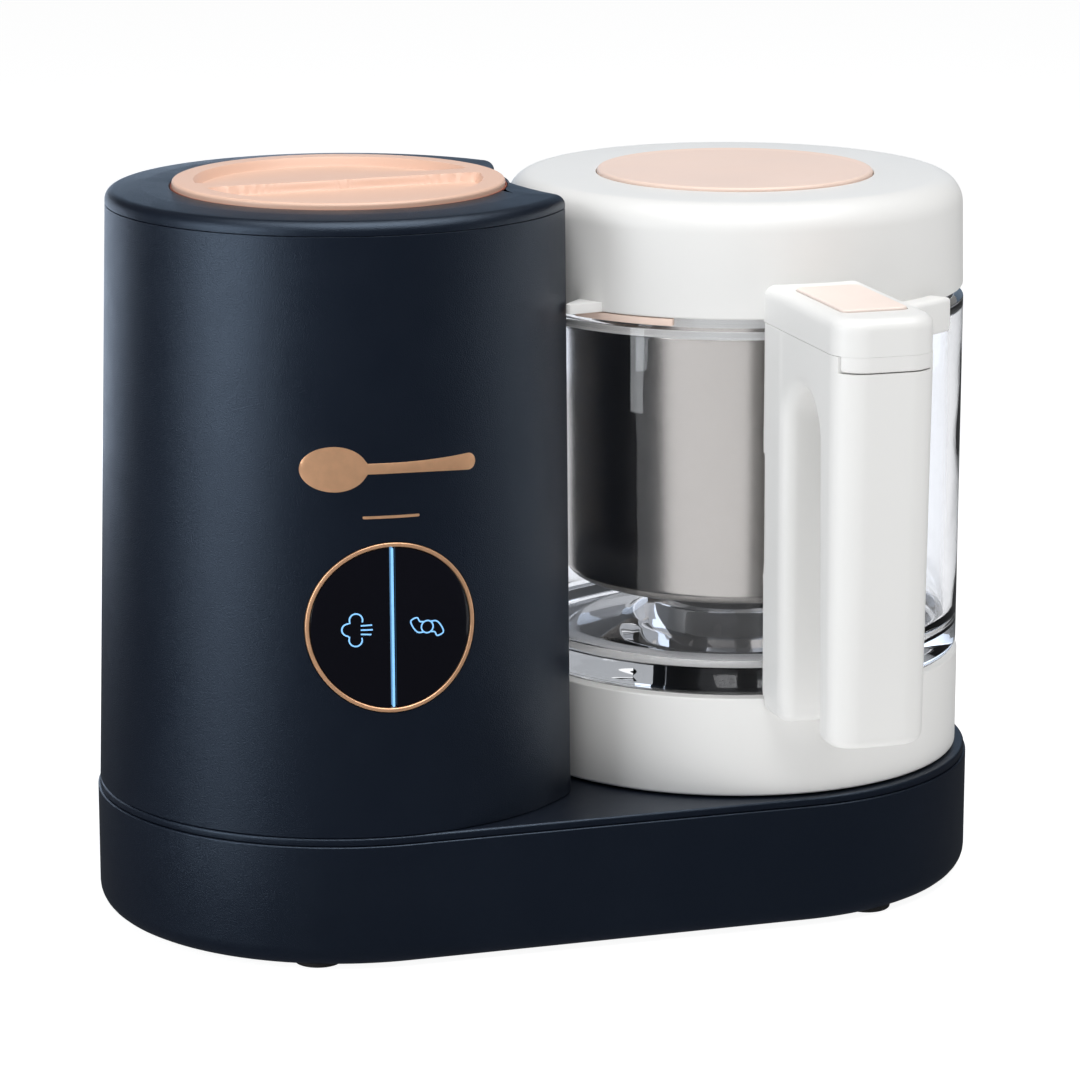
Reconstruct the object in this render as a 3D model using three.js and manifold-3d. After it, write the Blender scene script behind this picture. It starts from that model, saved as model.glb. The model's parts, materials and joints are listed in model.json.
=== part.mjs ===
// A baby food maker that steams and blends: a heating tower and a jar stand side by side on one base.
// Millimetres, +Z up, -Y is the front. Design coordinates start on the tower's axis at table height,
// and the jar's axis lies along +X from it. The finished group is moved so that its origin is the
// centre of the footprint, on the table.

import * as THREE from 'three';
import { mergeVertices } from 'three/addons/utils/BufferGeometryUtils.js';
import Module from 'manifold-3d';

const wasm = await Module();
wasm.setup();

// ---------------------------------------------------------------- driving dimensions

const GAP = 0.3; // kept between solids that touch on the real machine
const AXIS_DISTANCE = 138.2; // tower axis to jar axis
const FULL_TURN = 2 * Math.PI;
const BIG = 30; // sides of the large round parts
const MEDIUM = 18;
const SMALL = 10;

const base = { towerRadius: 83, jarRadius: 82.2, bottom: 2, top: 42.3, fillet: 9, wall: 2.6 };
const deck = { top: 45.1, underside: 42.6, inset: 0.8, skirtInset: 3.2, skirtBottom: 36, bossRadius: 47 };
const foot = { radius: 8, height: 2.9, spread: 26.5, depth: 65 };
const tower = {
  footRadius: 82.2, headRadius: 76.6, bottom: 45.4, seam: 239, top: 243.3, wall: 2.5, edge: 4,
};
// The hollow flank of the tower that faces the jar: it is flatter and wider at the foot.
const recess = { nearest: 57.7, footRadius: 212, headRadius: 105 };
const tank = { radius: 50, wall: 1.2, floor: 150, shoulder: 222, neckRadius: 47.5, neckTop: 237.6 };
const cap = { radius: 54.7, underside: 242, top: 246.3, ridge: 9, scoopRadius: 47, scoopDepth: 2.6 };
const panel = { turn: THREE.MathUtils.degToRad(-3.4), height: 113.95, ringRadius: 27.6, ringWidth: 1.6 };
const lightBar = { width: 1.3, length: 51.4 };
const steamOutlet = { height: 227.5, bore: 3.6, radius: 6, inner: 51.2, outer: 59.2 };
const emblem = { height: 165.5, length: 57, bowlLength: 21, bowlWidth: 14.5, stemWidth: 5.4, depth: 0.7 };
const accent = { height: 149.9, length: 18, width: 1.2 };
const motor = { radius: 32, bottom: 62, top: 126, shaftRadius: 3.5 };
const drive = { pulleyZ: 17.5, smallRadius: 10, largeRadius: 27, beltWidth: 7, beltThickness: 1.6 };
const jar = { radius: 78.3, bottom: 45.8, top: 79.2, wall: 3, skirtRadius: 50 };
const glass = {
  radius: 77.8, wall: 4, bottom: 79.5, floor: 90, shoulder: 201.6, neckRadius: 74.2, rim: 214.5,
};
const basket = { topRadius: 58.3, bottomRadius: 56.8, bottom: 105.4, top: 202.4, wall: 1, corner: 4.5 };
const collar = { radius: 69.9, bottom: 198.2, ledge: 201, rim: 216.6, flange: 73.4 };
const lid = {
  radius: 77.6, headRadius: 76.7, bottom: 205.5, top: 242.5, edge: 10, wall: 2.4, discRadius: 46.5,
};
const handle = {
  halfWidth: 17, front: 143.4, gripBack: 122.5, spineFront: 95, spineBack: 78.6,
  spineBottom: 75.2, gripBottom: 78.4, top: 204.9, archTop: 189, corner: 11,
  depthTaper: 0.22, widthTaper: 0.05,
};
const arm = { bottom: 205.5, top: 217, tongueBottom: 200, tongueBack: 139.4 };
const pad = { halfWidth: 11, back: 86.8, front: 130, bottom: 214.4, top: 217.9 };

// ---------------------------------------------------------------- geometry helpers

// Merges shared vertices and drops the triangles that collapse when they merge.
function weld(geometry) {
  const bare = geometry.clone();
  bare.deleteAttribute('normal');
  bare.deleteAttribute('uv');
  const merged = mergeVertices(bare, 1e-4);
  const source = merged.index.array;
  const kept = [];
  for (let i = 0; i < source.length; i += 3) {
    const [a, b, c] = [source[i], source[i + 1], source[i + 2]];
    if (a !== b && b !== c && c !== a) kept.push(a, b, c);
  }
  merged.setIndex(kept);
  return merged;
}

function signedVolume(geometry) {
  const position = geometry.attributes.position;
  const index = geometry.index.array;
  const [a, b, c] = [new THREE.Vector3(), new THREE.Vector3(), new THREE.Vector3()];
  let sum = 0;
  for (let i = 0; i < index.length; i += 3) {
    a.fromBufferAttribute(position, index[i]);
    b.fromBufferAttribute(position, index[i + 1]);
    c.fromBufferAttribute(position, index[i + 2]);
    sum += a.dot(b.cross(c)) / 6;
  }
  return sum;
}

// A welded copy whose faces point outwards.
function closed(geometry) {
  const welded = weld(geometry);
  if (signedVolume(welded) < 0) {
    const index = welded.index.array;
    for (let i = 0; i < index.length; i += 3) {
      [index[i + 1], index[i + 2]] = [index[i + 2], index[i + 1]];
    }
  }
  return welded;
}

function toManifold(geometry) {
  const solid = closed(geometry);
  return new wasm.Manifold(new wasm.Mesh({
    numProp: 3,
    vertProperties: new Float32Array(solid.attributes.position.array),
    triVerts: new Uint32Array(solid.index.array),
  }));
}

function fromManifold(manifold) {
  const mesh = manifold.getMesh();
  const geometry = new THREE.BufferGeometry();
  geometry.setAttribute('position', new THREE.BufferAttribute(new Float32Array(mesh.vertProperties), 3));
  geometry.setIndex(new THREE.BufferAttribute(new Uint32Array(mesh.triVerts), 1));
  return geometry;
}

function join(...geometries) {
  return fromManifold(geometries.map(toManifold).reduce((all, next) => all.add(next)));
}

function cut(geometry, ...tools) {
  const solid = toManifold(geometry);
  return fromManifold(tools.map(toManifold).reduce((left, tool) => left.subtract(tool), solid));
}

function common(first, second) {
  return fromManifold(toManifold(first).intersect(toManifold(second)));
}

function move(geometry, x, y, z = 0) {
  return geometry.clone().translate(x, y, z);
}

function onJar(geometry) {
  return move(geometry, AXIS_DISTANCE, 0, 0);
}

// A solid of revolution about Z from [radius, height] points that start and end on the axis.
function turned(profile, sides = BIG) {
  const points = profile.map(([radius, z]) => new THREE.Vector2(radius, z));
  return closed(new THREE.LatheGeometry(points, sides).rotateX(Math.PI / 2));
}

// The same for a ring, whose profile closes on itself.
function turnedRing(profile, sides = BIG) {
  return turned([...profile, profile[0]], sides);
}

function disc(radius, low, high, sides = MEDIUM) {
  return turned([[0, low], [radius, low], [radius, high], [0, high]], sides);
}

function ring(inner, outer, low, high, sides = BIG) {
  return turnedRing([[inner, low], [outer, low], [outer, high], [inner, high]], sides);
}

// A box from its lowest and highest corners.
function block([x0, y0, z0], [x1, y1, z1]) {
  return closed(new THREE.BoxGeometry(x1 - x0, y1 - y0, z1 - z0)
    .translate((x0 + x1) / 2, (y0 + y1) / 2, (z0 + z1) / 2));
}

function plate(shape, low, high, curveSegments = 8) {
  const options = { depth: high - low, bevelEnabled: false, curveSegments };
  return closed(new THREE.ExtrudeGeometry(shape, options).translate(0, 0, low));
}

// A plate whose top and bottom edges are rounded inwards from the outline.
function softPlate(shape, low, high, radius, { curveSegments = 8, steps = 3 } = {}) {
  const options = {
    depth: high - low - 2 * radius, curveSegments, bevelEnabled: true, bevelSegments: steps,
    bevelThickness: radius, bevelSize: radius, bevelOffset: -radius,
  };
  return closed(new THREE.ExtrudeGeometry(shape, options).translate(0, 0, low + radius));
}

// Quarter-circle points for a lathe profile, from one angle to another about a centre.
function arcPoints(centreR, centreZ, radius, fromDeg, toDeg, steps = 4) {
  return Array.from({ length: steps + 1 }, (_, i) => {
    const angle = THREE.MathUtils.degToRad(fromDeg + ((toDeg - fromDeg) * i) / steps);
    return [centreR + radius * Math.cos(angle), centreZ + radius * Math.sin(angle)];
  });
}

// The outline of a belt round two circles: one on the tower axis, one on the jar axis.
function stadium(towerRadius, jarRadius, Kind = THREE.Shape) {
  const lean = Math.acos((towerRadius - jarRadius) / AXIS_DISTANCE);
  const outline = new Kind();
  outline.absarc(0, 0, towerRadius, lean, FULL_TURN - lean, false);
  outline.absarc(AXIS_DISTANCE, 0, jarRadius, -lean, lean, false);
  outline.closePath();
  return outline;
}

function roundedRect(x0, y0, x1, y1, radius) {
  const outline = new THREE.Shape();
  outline.absarc(x1 - radius, y0 + radius, radius, -Math.PI / 2, 0, false);
  outline.absarc(x1 - radius, y1 - radius, radius, 0, Math.PI / 2, false);
  outline.absarc(x0 + radius, y1 - radius, radius, Math.PI / 2, Math.PI, false);
  outline.absarc(x0 + radius, y0 + radius, radius, Math.PI, 1.5 * Math.PI, false);
  outline.closePath();
  return outline;
}

function radians(degrees) {
  return THREE.MathUtils.degToRad(degrees);
}

// ---------------------------------------------------------------- scene graph

const machine = new THREE.Group();

const finishes = {
  navy: { color: 0x24304a, roughness: 0.5, metalness: 0 },
  white: { color: 0xefeeec, roughness: 0.4, metalness: 0 },
  blush: { color: 0xf2cdb8, roughness: 0.42, metalness: 0 },
  roseGold: { color: 0xc99675, roughness: 0.28, metalness: 1 },
  steel: { color: 0xb9b7b3, roughness: 0.3, metalness: 1 },
  glass: { color: 0xe6edf0, roughness: 0.03, metalness: 0, transparent: true, opacity: 0.3 },
  blackGloss: { color: 0x0a0a0d, roughness: 0.12, metalness: 0 },
  light: { color: 0xcdf3ff, roughness: 0.4, metalness: 0, emissive: 0x6fdcff },
  rubber: { color: 0x1b1c1f, roughness: 0.85, metalness: 0 },
  silicone: { color: 0xa9503c, roughness: 0.6, metalness: 0 },
  charcoal: { color: 0x2c2e33, roughness: 0.5, metalness: 0 },
  circuit: { color: 0x1f5a38, roughness: 0.6, metalness: 0 },
  bronze: { color: 0xb08a4e, roughness: 0.4, metalness: 1 },
};

function add(name, geometry, finish) {
  const mesh = new THREE.Mesh(closed(geometry), new THREE.MeshStandardMaterial(finishes[finish]));
  mesh.geometry.computeVertexNormals();
  mesh.name = name;
  machine.add(mesh);
}

// ---------------------------------------------------------------- base

const footPlaces = [
  ['front_left', -foot.spread, -foot.depth],
  ['front_right', AXIS_DISTANCE + foot.spread, -foot.depth],
  ['rear_left', -foot.spread, foot.depth],
  ['rear_right', AXIS_DISTANCE + foot.spread, foot.depth],
];
const screwPlaces = [
  ['front_left', -6, -64],
  ['front_right', AXIS_DISTANCE + 6, -64],
  ['rear_left', -6, 64],
  ['rear_right', AXIS_DISTANCE + 6, 64],
];
const inlet = { x: 40, width: 23, height: 15, low: 12, wall: 2 };

function makeBaseTray() {
  const above = block([-100, -100, base.top], [300, 100, 100]);
  const outside = softPlate(stadium(base.towerRadius, base.jarRadius), base.bottom, 80, base.fillet,
    { curveSegments: 9, steps: 3 });
  const inner = stadium(base.towerRadius - base.wall, base.jarRadius - base.wall);
  const inside = softPlate(inner, base.bottom + base.wall, 90, base.fillet - 2,
    { curveSegments: 7, steps: 1 });
  const feet = footPlaces.map(([, x, y]) => move(disc(foot.radius + 0.4, 0, foot.height + GAP, SMALL), x, y));
  const screws = screwPlaces.map(([, x, y]) => move(disc(2.2, 0, 8, 8), x, y));
  const vents = Array.from({ length: 5 }, (_, i) => {
    const x = -16 + 8 * i;
    return block([x - 1.5, -48, 0], [x + 1.5, -20, 10]);
  });
  const half = inlet.width / 2;
  const socket = block([inlet.x - half, 70, inlet.low], [inlet.x + half, 90, inlet.low + inlet.height]);
  return cut(outside, above, inside, ...feet, ...screws, ...vents, socket);
}

function makeDeck() {
  const outline = stadium(base.towerRadius - deck.inset, base.jarRadius - deck.inset);
  const top = plate(outline, deck.underside, deck.top, 9);
  const outer = deck.skirtInset;
  const inner = deck.skirtInset + 2;
  const skirtShape = stadium(base.towerRadius - outer, base.jarRadius - outer);
  skirtShape.holes.push(stadium(base.towerRadius - inner, base.jarRadius - inner, THREE.Path));
  const skirt = plate(skirtShape, deck.skirtBottom, deck.underside + 0.5, 6);
  const hub = onJar(disc(13, 30, 50, MEDIUM));
  const boss = onJar(ring(deck.bossRadius - 3, deck.bossRadius, deck.underside + 0.5, 51, MEDIUM));
  const posts = screwPlaces.map(([, x, y]) => move(disc(4.5, 5, deck.underside + 0.5, 12), x, y));
  const postBores = screwPlaces.map(([, x, y]) => move(disc(2.1, 4, 18, 8), x, y));
  const shaftHole = onJar(disc(9, 28, 52, MEDIUM));
  const towerHole = disc(30, 40, 50, MEDIUM);
  return cut(join(top, skirt, hub, boss, ...posts), ...postBores, shaftHole, towerHole);
}

function makeScrew() {
  return turned([[0, 0.35], [3.6, 0.35], [3.6, 1.6], [1.8, 1.6], [1.8, 14], [0, 15.5]], 8);
}

// A two-pin socket for a mains lead, open to the rear.
function makeInlet() {
  const half = inlet.width / 2 - GAP;
  const low = inlet.low + GAP;
  const high = inlet.low + inlet.height - GAP;
  const body = block([-half, 56, low], [half, 79, high]);
  const well = block([-half + inlet.wall, 62, low + inlet.wall], [half - inlet.wall, 90, high - inlet.wall]);
  const middle = (low + high) / 2;
  const pins = [-4, 4].map((x) => block([x - 1.1, 61, middle - 1.1], [x + 1.1, 74, middle + 1.1]));
  return move(join(cut(body, well), ...pins), inlet.x, 0);
}

function makeFoot() {
  const { radius: r, height } = foot;
  return turned([[0, 0], [r - 0.6, 0], [r, 0.8], [r, height], [0, height]], 14);
}

add('base_tray', makeBaseTray(), 'navy');
add('deck_cover', makeDeck(), 'navy');
for (const [place, x, y] of footPlaces) add(`foot_${place}`, move(makeFoot(), x, y), 'rubber');
for (const [place, x, y] of screwPlaces) add(`base_screw_${place}`, move(makeScrew(), x, y), 'steel');
add('power_inlet', makeInlet(), 'charcoal');

// ---------------------------------------------------------------- tower

function shareOfTower(z) {
  return (z - tower.bottom) / (tower.seam - tower.bottom);
}

function towerRadiusAt(z) {
  return THREE.MathUtils.lerp(tower.footRadius, tower.headRadius, shareOfTower(z));
}

// The tower's tapered wall moved outwards (or inwards) by an offset.
function towerCone(offset, low, high) {
  return turned([
    [0, low], [towerRadiusAt(low) + offset, low], [towerRadiusAt(high) + offset, high], [0, high],
  ], 40);
}

// A layer that follows the tower's face, used to shape everything that lies flush in it.
function towerLayer(innerOffset, outerOffset, low, high) {
  return cut(towerCone(outerOffset, low, high), towerCone(innerOffset, low - 1, high + 1));
}

// A leaning cone that cuts the hollow flank, grown by a margin.
function recessCone(margin) {
  const geometry = disc(1, 0, 300, 96);
  const place = geometry.getAttribute('position');
  for (let i = 0; i < place.count; i += 1) {
    const z = place.getZ(i);
    const radius = THREE.MathUtils.lerp(recess.footRadius, recess.headRadius, shareOfTower(z));
    const x = recess.nearest + radius + place.getX(i) * (radius + margin);
    place.setXYZ(i, x, place.getY(i) * (radius + margin), z);
  }
  return geometry;
}

// Turns a shape drawn in the panel's own plane (x to the right, y up) to face out of the tower.
function onPanel(shape, height, curveSegments = 13) {
  const options = { depth: 40, bevelEnabled: false, curveSegments };
  return closed(new THREE.ExtrudeGeometry(shape, options)
    .rotateX(Math.PI / 2)
    .translate(0, -60, height)
    .rotateZ(panel.turn));
}

function circleShape(radius) {
  const shape = new THREE.Shape();
  shape.absarc(0, 0, radius, 0, FULL_TURN, false);
  return shape;
}

// A baby spoon seen from above, with its outline grown by a margin.
function spoonShape(margin) {
  const bowlHalf = emblem.bowlLength / 2 + margin;
  const bowlWide = emblem.bowlWidth / 2 + margin;
  const stem = emblem.stemWidth / 2 + margin;
  const bowlCentre = -emblem.length / 2 + emblem.bowlLength / 2;
  const joinAngle = Math.asin((stem * 0.62) / bowlWide);
  const shape = new THREE.Shape();
  shape.absellipse(bowlCentre, 0, bowlHalf, bowlWide, joinAngle, FULL_TURN - joinAngle, false);
  shape.absarc(emblem.length / 2 - emblem.stemWidth / 2, 0, stem, -Math.PI / 2, Math.PI / 2, false);
  shape.closePath();
  return shape;
}

function barShape(length, width, margin) {
  const half = length / 2 + margin;
  const rise = width / 2 + margin;
  return roundedRect(-half, -rise, half, rise, rise - 0.01);
}

function makeTowerShell() {
  const outside = cut(towerCone(0, tower.bottom, tower.seam), recessCone(0));
  const innerCone = towerCone(-tower.wall, tower.bottom - 1, tower.seam + 1);
  const inside = cut(innerCone, recessCone(tower.wall));
  const side = steamOutlet.radius + GAP;
  const nozzleHole = block([50, -side, steamOutlet.height - side], [62, side, steamOutlet.height + side]);
  const controlHole = onPanel(circleShape(panel.ringRadius + GAP), panel.height);
  const inlayLayer = towerLayer(-emblem.depth - GAP, 2, 140, 185);
  const spoonPocket = common(onPanel(spoonShape(GAP), emblem.height, 5), inlayLayer);
  const line = barShape(accent.length, accent.width, GAP);
  const linePocket = common(onPanel(line, accent.height, 1), inlayLayer);
  return cut(outside, inside, nozzleHole, controlHole, spoonPocket, linePocket);
}

// Plan of the tower's head: a circle with the hollow flank cut out of it.
function towerHeadShape() {
  const r = tower.headRadius;
  const centre = recess.nearest + recess.headRadius;
  const x = (centre ** 2 + r ** 2 - recess.headRadius ** 2) / (2 * centre);
  const y = Math.sqrt(r ** 2 - x ** 2);
  const outer = Math.atan2(y, x);
  const inner = Math.atan2(y, centre - x);
  const shape = new THREE.Shape();
  shape.absarc(0, 0, r, outer, FULL_TURN - outer, false);
  shape.absarc(centre, 0, recess.headRadius, Math.PI + inner, Math.PI - inner, true);
  shape.closePath();
  return shape;
}

function makeTowerTop() {
  const body = softPlate(towerHeadShape(), tower.seam - 8, tower.top, tower.edge,
    { curveSegments: 12, steps: 2 });
  const below = block([-90, -90, tower.seam - 20], [90, 90, tower.seam + GAP]);
  const opening = disc(cap.radius + 0.8, tower.seam - 1, 260, 36);
  return cut(body, below, opening);
}

function makeTank() {
  const { radius: r, wall: t, floor, shoulder, neckRadius: n, neckTop } = tank;
  return turned([
    [0, floor], [r - 5, floor], [r, floor + 5], [r, shoulder], [n, shoulder + 5], [n, neckTop - t],
    [54.4, neckTop - t], [54.4, neckTop], [n - t, neckTop], [n - t, shoulder + 5 - t], [r - t, shoulder - t],
    [r - t, floor + 5], [r - 5, floor + t], [0, floor + t],
  ], 24);
}

// An aluminium plate under the tank with the heating element's rib below it.
function makeHeatingPlate() {
  return turnedRing([
    [9, 144], [20, 144], [20, 141], [30, 141], [30, 144], [44, 144], [44, 149.6], [9, 149.6],
  ], 18);
}

// The silicone outlet in the hollow flank, facing the steam inlet of the lid.
function makeSteamNozzle() {
  const { bore, radius, inner, outer, height } = steamOutlet;
  return ring(bore, radius, inner, outer, SMALL).rotateY(Math.PI / 2).translate(0, 0, height);
}

function makeCap() {
  const { radius: r, underside, top } = cap;
  const body = turned([
    [0, underside], [r - 1, underside], [r, underside + 1], [r, top - 1.4], [r - 0.5, top - 0.4],
    [r - 1.6, top], [0, top],
  ], 36);
  const start = Math.asin(cap.ridge / 2 / cap.scoopRadius);
  const halfMoon = new THREE.Shape();
  halfMoon.absarc(0, 0, cap.scoopRadius, start, Math.PI - start, false);
  halfMoon.closePath();
  const scoop = plate(halfMoon, top - cap.scoopDepth, top + 5, 8);
  return cut(body, scoop, scoop.clone().rotateZ(Math.PI)).rotateZ(radians(4));
}

function makeCapPlug() {
  return turned([
    [0, 238.4], [42, 238.4], [42, 226], [45.4, 226], [45.4, 234.6], [44.2, 234.6], [44.2, 241.7],
    [0, 241.7],
  ], 24);
}

function makeControlCarrier() {
  const plug = onPanel(circleShape(panel.ringRadius + 0.6), panel.height);
  return common(plug, towerLayer(-8, -4.6, 80, 150));
}

function makeBezelRing() {
  const shape = circleShape(panel.ringRadius);
  const hole = new THREE.Path();
  hole.absarc(0, 0, panel.ringRadius - panel.ringWidth, 0, FULL_TURN, false);
  shape.holes.push(hole);
  return common(onPanel(shape, panel.height), towerLayer(-2.3, 0.35, 80, 150));
}

// Half of the control disc, on one side of the light bar.
function makeButton(side) {
  const radius = panel.ringRadius - panel.ringWidth - GAP;
  const edge = lightBar.width / 2 + GAP;
  const start = Math.acos(edge / radius);
  const shape = new THREE.Shape();
  if (side > 0) shape.absarc(0, 0, radius, -start, start, false);
  else shape.absarc(0, 0, radius, Math.PI - start, Math.PI + start, false);
  shape.closePath();
  return common(onPanel(shape, panel.height), towerLayer(-2.6, 0.05, 80, 150));
}

// A metal inlay that fills a shallow pocket in the tower's face.
function makeInlay(shape, height, curveSegments) {
  return common(onPanel(shape, height, curveSegments), towerLayer(-emblem.depth, 0.12, 140, 185));
}

function makeLightBar() {
  const shape = barShape(lightBar.length, lightBar.width, 0);
  const upright = onPanel(shape, 0, 2).rotateZ(-panel.turn).rotateY(Math.PI / 2).rotateZ(panel.turn);
  return common(upright.translate(0, 0, panel.height), towerLayer(-4.2, 0.1, 80, 150));
}

function makeControlBoard() {
  const board = block([-30, -63.6, 72], [30, -62, 140]);
  const relay = block([-24, -62.5, 80], [-6, -48, 94]);
  const transformer = block([4, -62.5, 78], [26, -44, 98]);
  const capacitor = block([6, -62.5, 106], [18, -50, 122]);
  return join(board, relay, transformer, capacitor).rotateZ(panel.turn);
}

add('tower_shell', makeTowerShell(), 'navy');
add('tower_top', makeTowerTop(), 'navy');
add('water_tank', makeTank(), 'steel');
add('heating_plate', makeHeatingPlate(), 'steel');
add('thermostat', disc(7, 143, 149.5, SMALL), 'charcoal');
add('steam_nozzle', makeSteamNozzle(), 'silicone');
add('cap_seal', ring(46.6, 53.6, 238, 241.6, 24), 'silicone');
add('tank_cap', makeCap(), 'blush');
add('cap_plug', makeCapPlug(), 'white');
add('control_board', makeControlBoard(), 'circuit');
add('control_carrier', makeControlCarrier(), 'charcoal');
add('bezel_ring', makeBezelRing(), 'roseGold');
add('steam_button', makeButton(-1), 'blackGloss');
add('blend_button', makeButton(1), 'blackGloss');
add('light_bar', makeLightBar(), 'light');
add('emblem', makeInlay(spoonShape(0), emblem.height, 5), 'roseGold');
add('accent_line', makeInlay(barShape(accent.length, accent.width, 0), accent.height, 1), 'roseGold');

// ---------------------------------------------------------------- motor and drive

function makePulley(radius, bore, sides) {
  const low = drive.pulleyZ;
  const flange = radius + 2.4;
  return turnedRing([
    [bore, low], [flange, low], [flange, low + 1.4], [radius, low + 1.6], [radius, low + 9.4],
    [flange, low + 9.6], [flange, low + 11], [bore, low + 11],
  ], sides);
}

function makeBelt() {
  const inner = GAP;
  const outer = GAP + drive.beltThickness;
  const shape = stadium(drive.smallRadius + outer, drive.largeRadius + outer);
  shape.holes.push(stadium(drive.smallRadius + inner, drive.largeRadius + inner, THREE.Path));
  const low = drive.pulleyZ + 5.5 - drive.beltWidth / 2;
  return plate(shape, low, low + drive.beltWidth, 8);
}

function makeMotorMount() {
  const top = disc(40, 56.5, 60, MEDIUM);
  const legs = [45, 135, 225, 315].map((angle) => {
    const [x, y] = [36 * Math.cos(radians(angle)), 36 * Math.sin(radians(angle))];
    return move(disc(4, tower.bottom, 58, 10), x, y);
  });
  return cut(join(top, ...legs), disc(9, 50, 62, SMALL));
}

function makeMotorCan() {
  const { radius: r, bottom, top } = motor;
  const can = turnedRing([
    [9, bottom - 1.7], [r, bottom - 1.7], [r, top], [6, top], [6, top - 2.5], [r - 2.5, top - 2.5],
    [r - 2.5, bottom + 0.8], [9, bottom + 0.8],
  ], MEDIUM);
  const slots = [0, 45, 90, 135].map((angle) => (
    block([-40, -4, bottom + 40], [40, 4, bottom + 52]).rotateZ(radians(angle))));
  return cut(can, ...slots);
}

// Armature, commutator and shaft, with the cooling fan above the winding.
function makeRotor() {
  const s = motor.shaftRadius;
  return turned([
    [0, 12], [s, 12], [s, 68], [23, 68], [23, 98], [8, 98], [8, 108], [s, 108], [s, 112], [20, 112],
    [20, 118], [s, 118], [s, 132], [0, 132],
  ], 14);
}

// Three upright dogs on a disc; the driven side carries three more that hang between them.
function makeDogs(low, high, turnDeg) {
  const dog = block([7, -1.7, low], [11.5, 1.7, high]);
  return [0, 120, 240].map((angle) => dog.clone().rotateZ(radians(angle + turnDeg)));
}

function makeDriveCoupling() {
  const hub = turnedRing([[4.3, 52.4], [13, 52.4], [13, 56], [6.2, 56], [6.2, 57.6], [4.3, 57.6]], 14);
  return onJar(join(hub, ...makeDogs(55.5, 61, 0)));
}

function makeDriveShaft() {
  return onJar(turned([[0, 12], [4, 12], [4, 57.4], [0, 57.4]], SMALL));
}

add('motor_mount', makeMotorMount(), 'charcoal');
add('motor_can', makeMotorCan(), 'steel');
add('motor_rotor', makeRotor(), 'steel');
add('motor_pulley', makePulley(drive.smallRadius, motor.shaftRadius + GAP, 16), 'charcoal');
add('drive_belt', makeBelt(), 'rubber');
add('jar_pulley', onJar(makePulley(drive.largeRadius, 4 + GAP, 20)), 'charcoal');
add('drive_bearing', onJar(ring(4 + GAP, 8.7, 30.5, 49.5, 14)), 'bronze');
add('drive_shaft', makeDriveShaft(), 'steel');
add('drive_coupling', makeDriveCoupling(), 'charcoal');

// ---------------------------------------------------------------- jar

function makeJarBase() {
  const { radius: r, bottom, top, wall: t, skirtRadius: s } = jar;
  return onJar(turnedRing([
    [s, bottom], [s + t, bottom], [s + t, top - t - 2], [r - t, top - t - 2], [r - t, bottom],
    [r - 0.6, bottom], [r, bottom + 0.6], [r, top - 0.6], [r - 0.6, top], [26, top], [26, top - t],
    [s, top - t],
  ], BIG));
}

function makeGlass() {
  const { radius: r, wall: t, bottom, floor, shoulder, neckRadius: n, rim } = glass;
  const inner = r - t;
  const neckInner = n - 3.8;
  return onJar(turnedRing([
    [22, bottom], [r - 4, bottom], [r, bottom + 4], [r, shoulder], [n, shoulder + 0.8], [n, rim - 1],
    [n - 1, rim], [neckInner + 1, rim], [neckInner, rim - 1], [neckInner, shoulder + 1],
    [inner, shoulder - 3], ...arcPoints(inner - 13, floor + 13, 13, 0, -90, 3), [22, floor],
  ], BIG));
}

function makeBladeHub() {
  const profile = [
    [4, 66], [21.4, 66], [21.4, 74], [25.6, 74], [25.6, 77.5], [21.4, 77.5], [21.4, 91.5],
    ...arcPoints(15.4, 91.5, 6, 20, 90, 2), [4, 97.5],
  ];
  return onJar(turnedRing(profile, 18));
}

// A two-winged blade, its wings turned like a propeller's in plan.
function bladeShape(reach, width) {
  const shape = new THREE.Shape();
  shape.moveTo(-reach, -width * 0.2);
  shape.quadraticCurveTo(-reach * 0.5, -width * 0.9, 0, -width * 0.6);
  shape.quadraticCurveTo(reach * 0.5, -width * 0.5, reach, width * 0.2);
  shape.quadraticCurveTo(reach * 0.5, width * 0.9, 0, width * 0.6);
  shape.quadraticCurveTo(-reach * 0.5, width * 0.5, -reach, -width * 0.2);
  const hole = new THREE.Path();
  hole.absarc(0, 0, 3.5 + GAP, 0, FULL_TURN, true);
  shape.holes.push(hole);
  return shape;
}

function makeBlade(low, turnDeg, reach) {
  return onJar(plate(bladeShape(reach, 11), low, low + 1.5, 5).rotateZ(radians(turnDeg)));
}

function makeBladeCoupling() {
  const hub = turned([[0, 61.9], [13, 61.9], [13, 65.6], [0, 65.6]], 14);
  return onJar(join(hub, ...makeDogs(56.4, 62.4, 60)));
}

function makeBasket() {
  const { topRadius: rt, bottomRadius: rb, bottom, top, wall: t, corner: c } = basket;
  const flange = 66.8;
  const body = turned([
    [0, bottom], ...arcPoints(rb - c, bottom + c, c, -90, 0, 3), [rt, top - t - 0.2], [flange, top - t],
    [flange, top], [rt - t, top], ...arcPoints(rb - c, bottom + c, c - t, 0, -90, 3), [0, bottom + t],
  ], BIG);
  const holes = [[4, 14], [6, 32]].flatMap(([count, radius]) => Array.from({ length: count }, (_, i) => {
    const angle = (FULL_TURN * i) / count;
    return move(disc(2, bottom - 2, bottom + 4, 6), radius * Math.cos(angle), radius * Math.sin(angle));
  }));
  return onJar(cut(body, ...holes));
}

function makeBasketCollar() {
  const { radius: r, bottom, ledge, rim, flange } = collar;
  return onJar(turnedRing([
    [60, bottom], [r, bottom], [r, rim - 1.8], [flange, rim - 1.8], [flange, rim], [r - 2.4, rim],
    [r - 2.4, ledge], [60, ledge],
  ], BIG));
}

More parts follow.
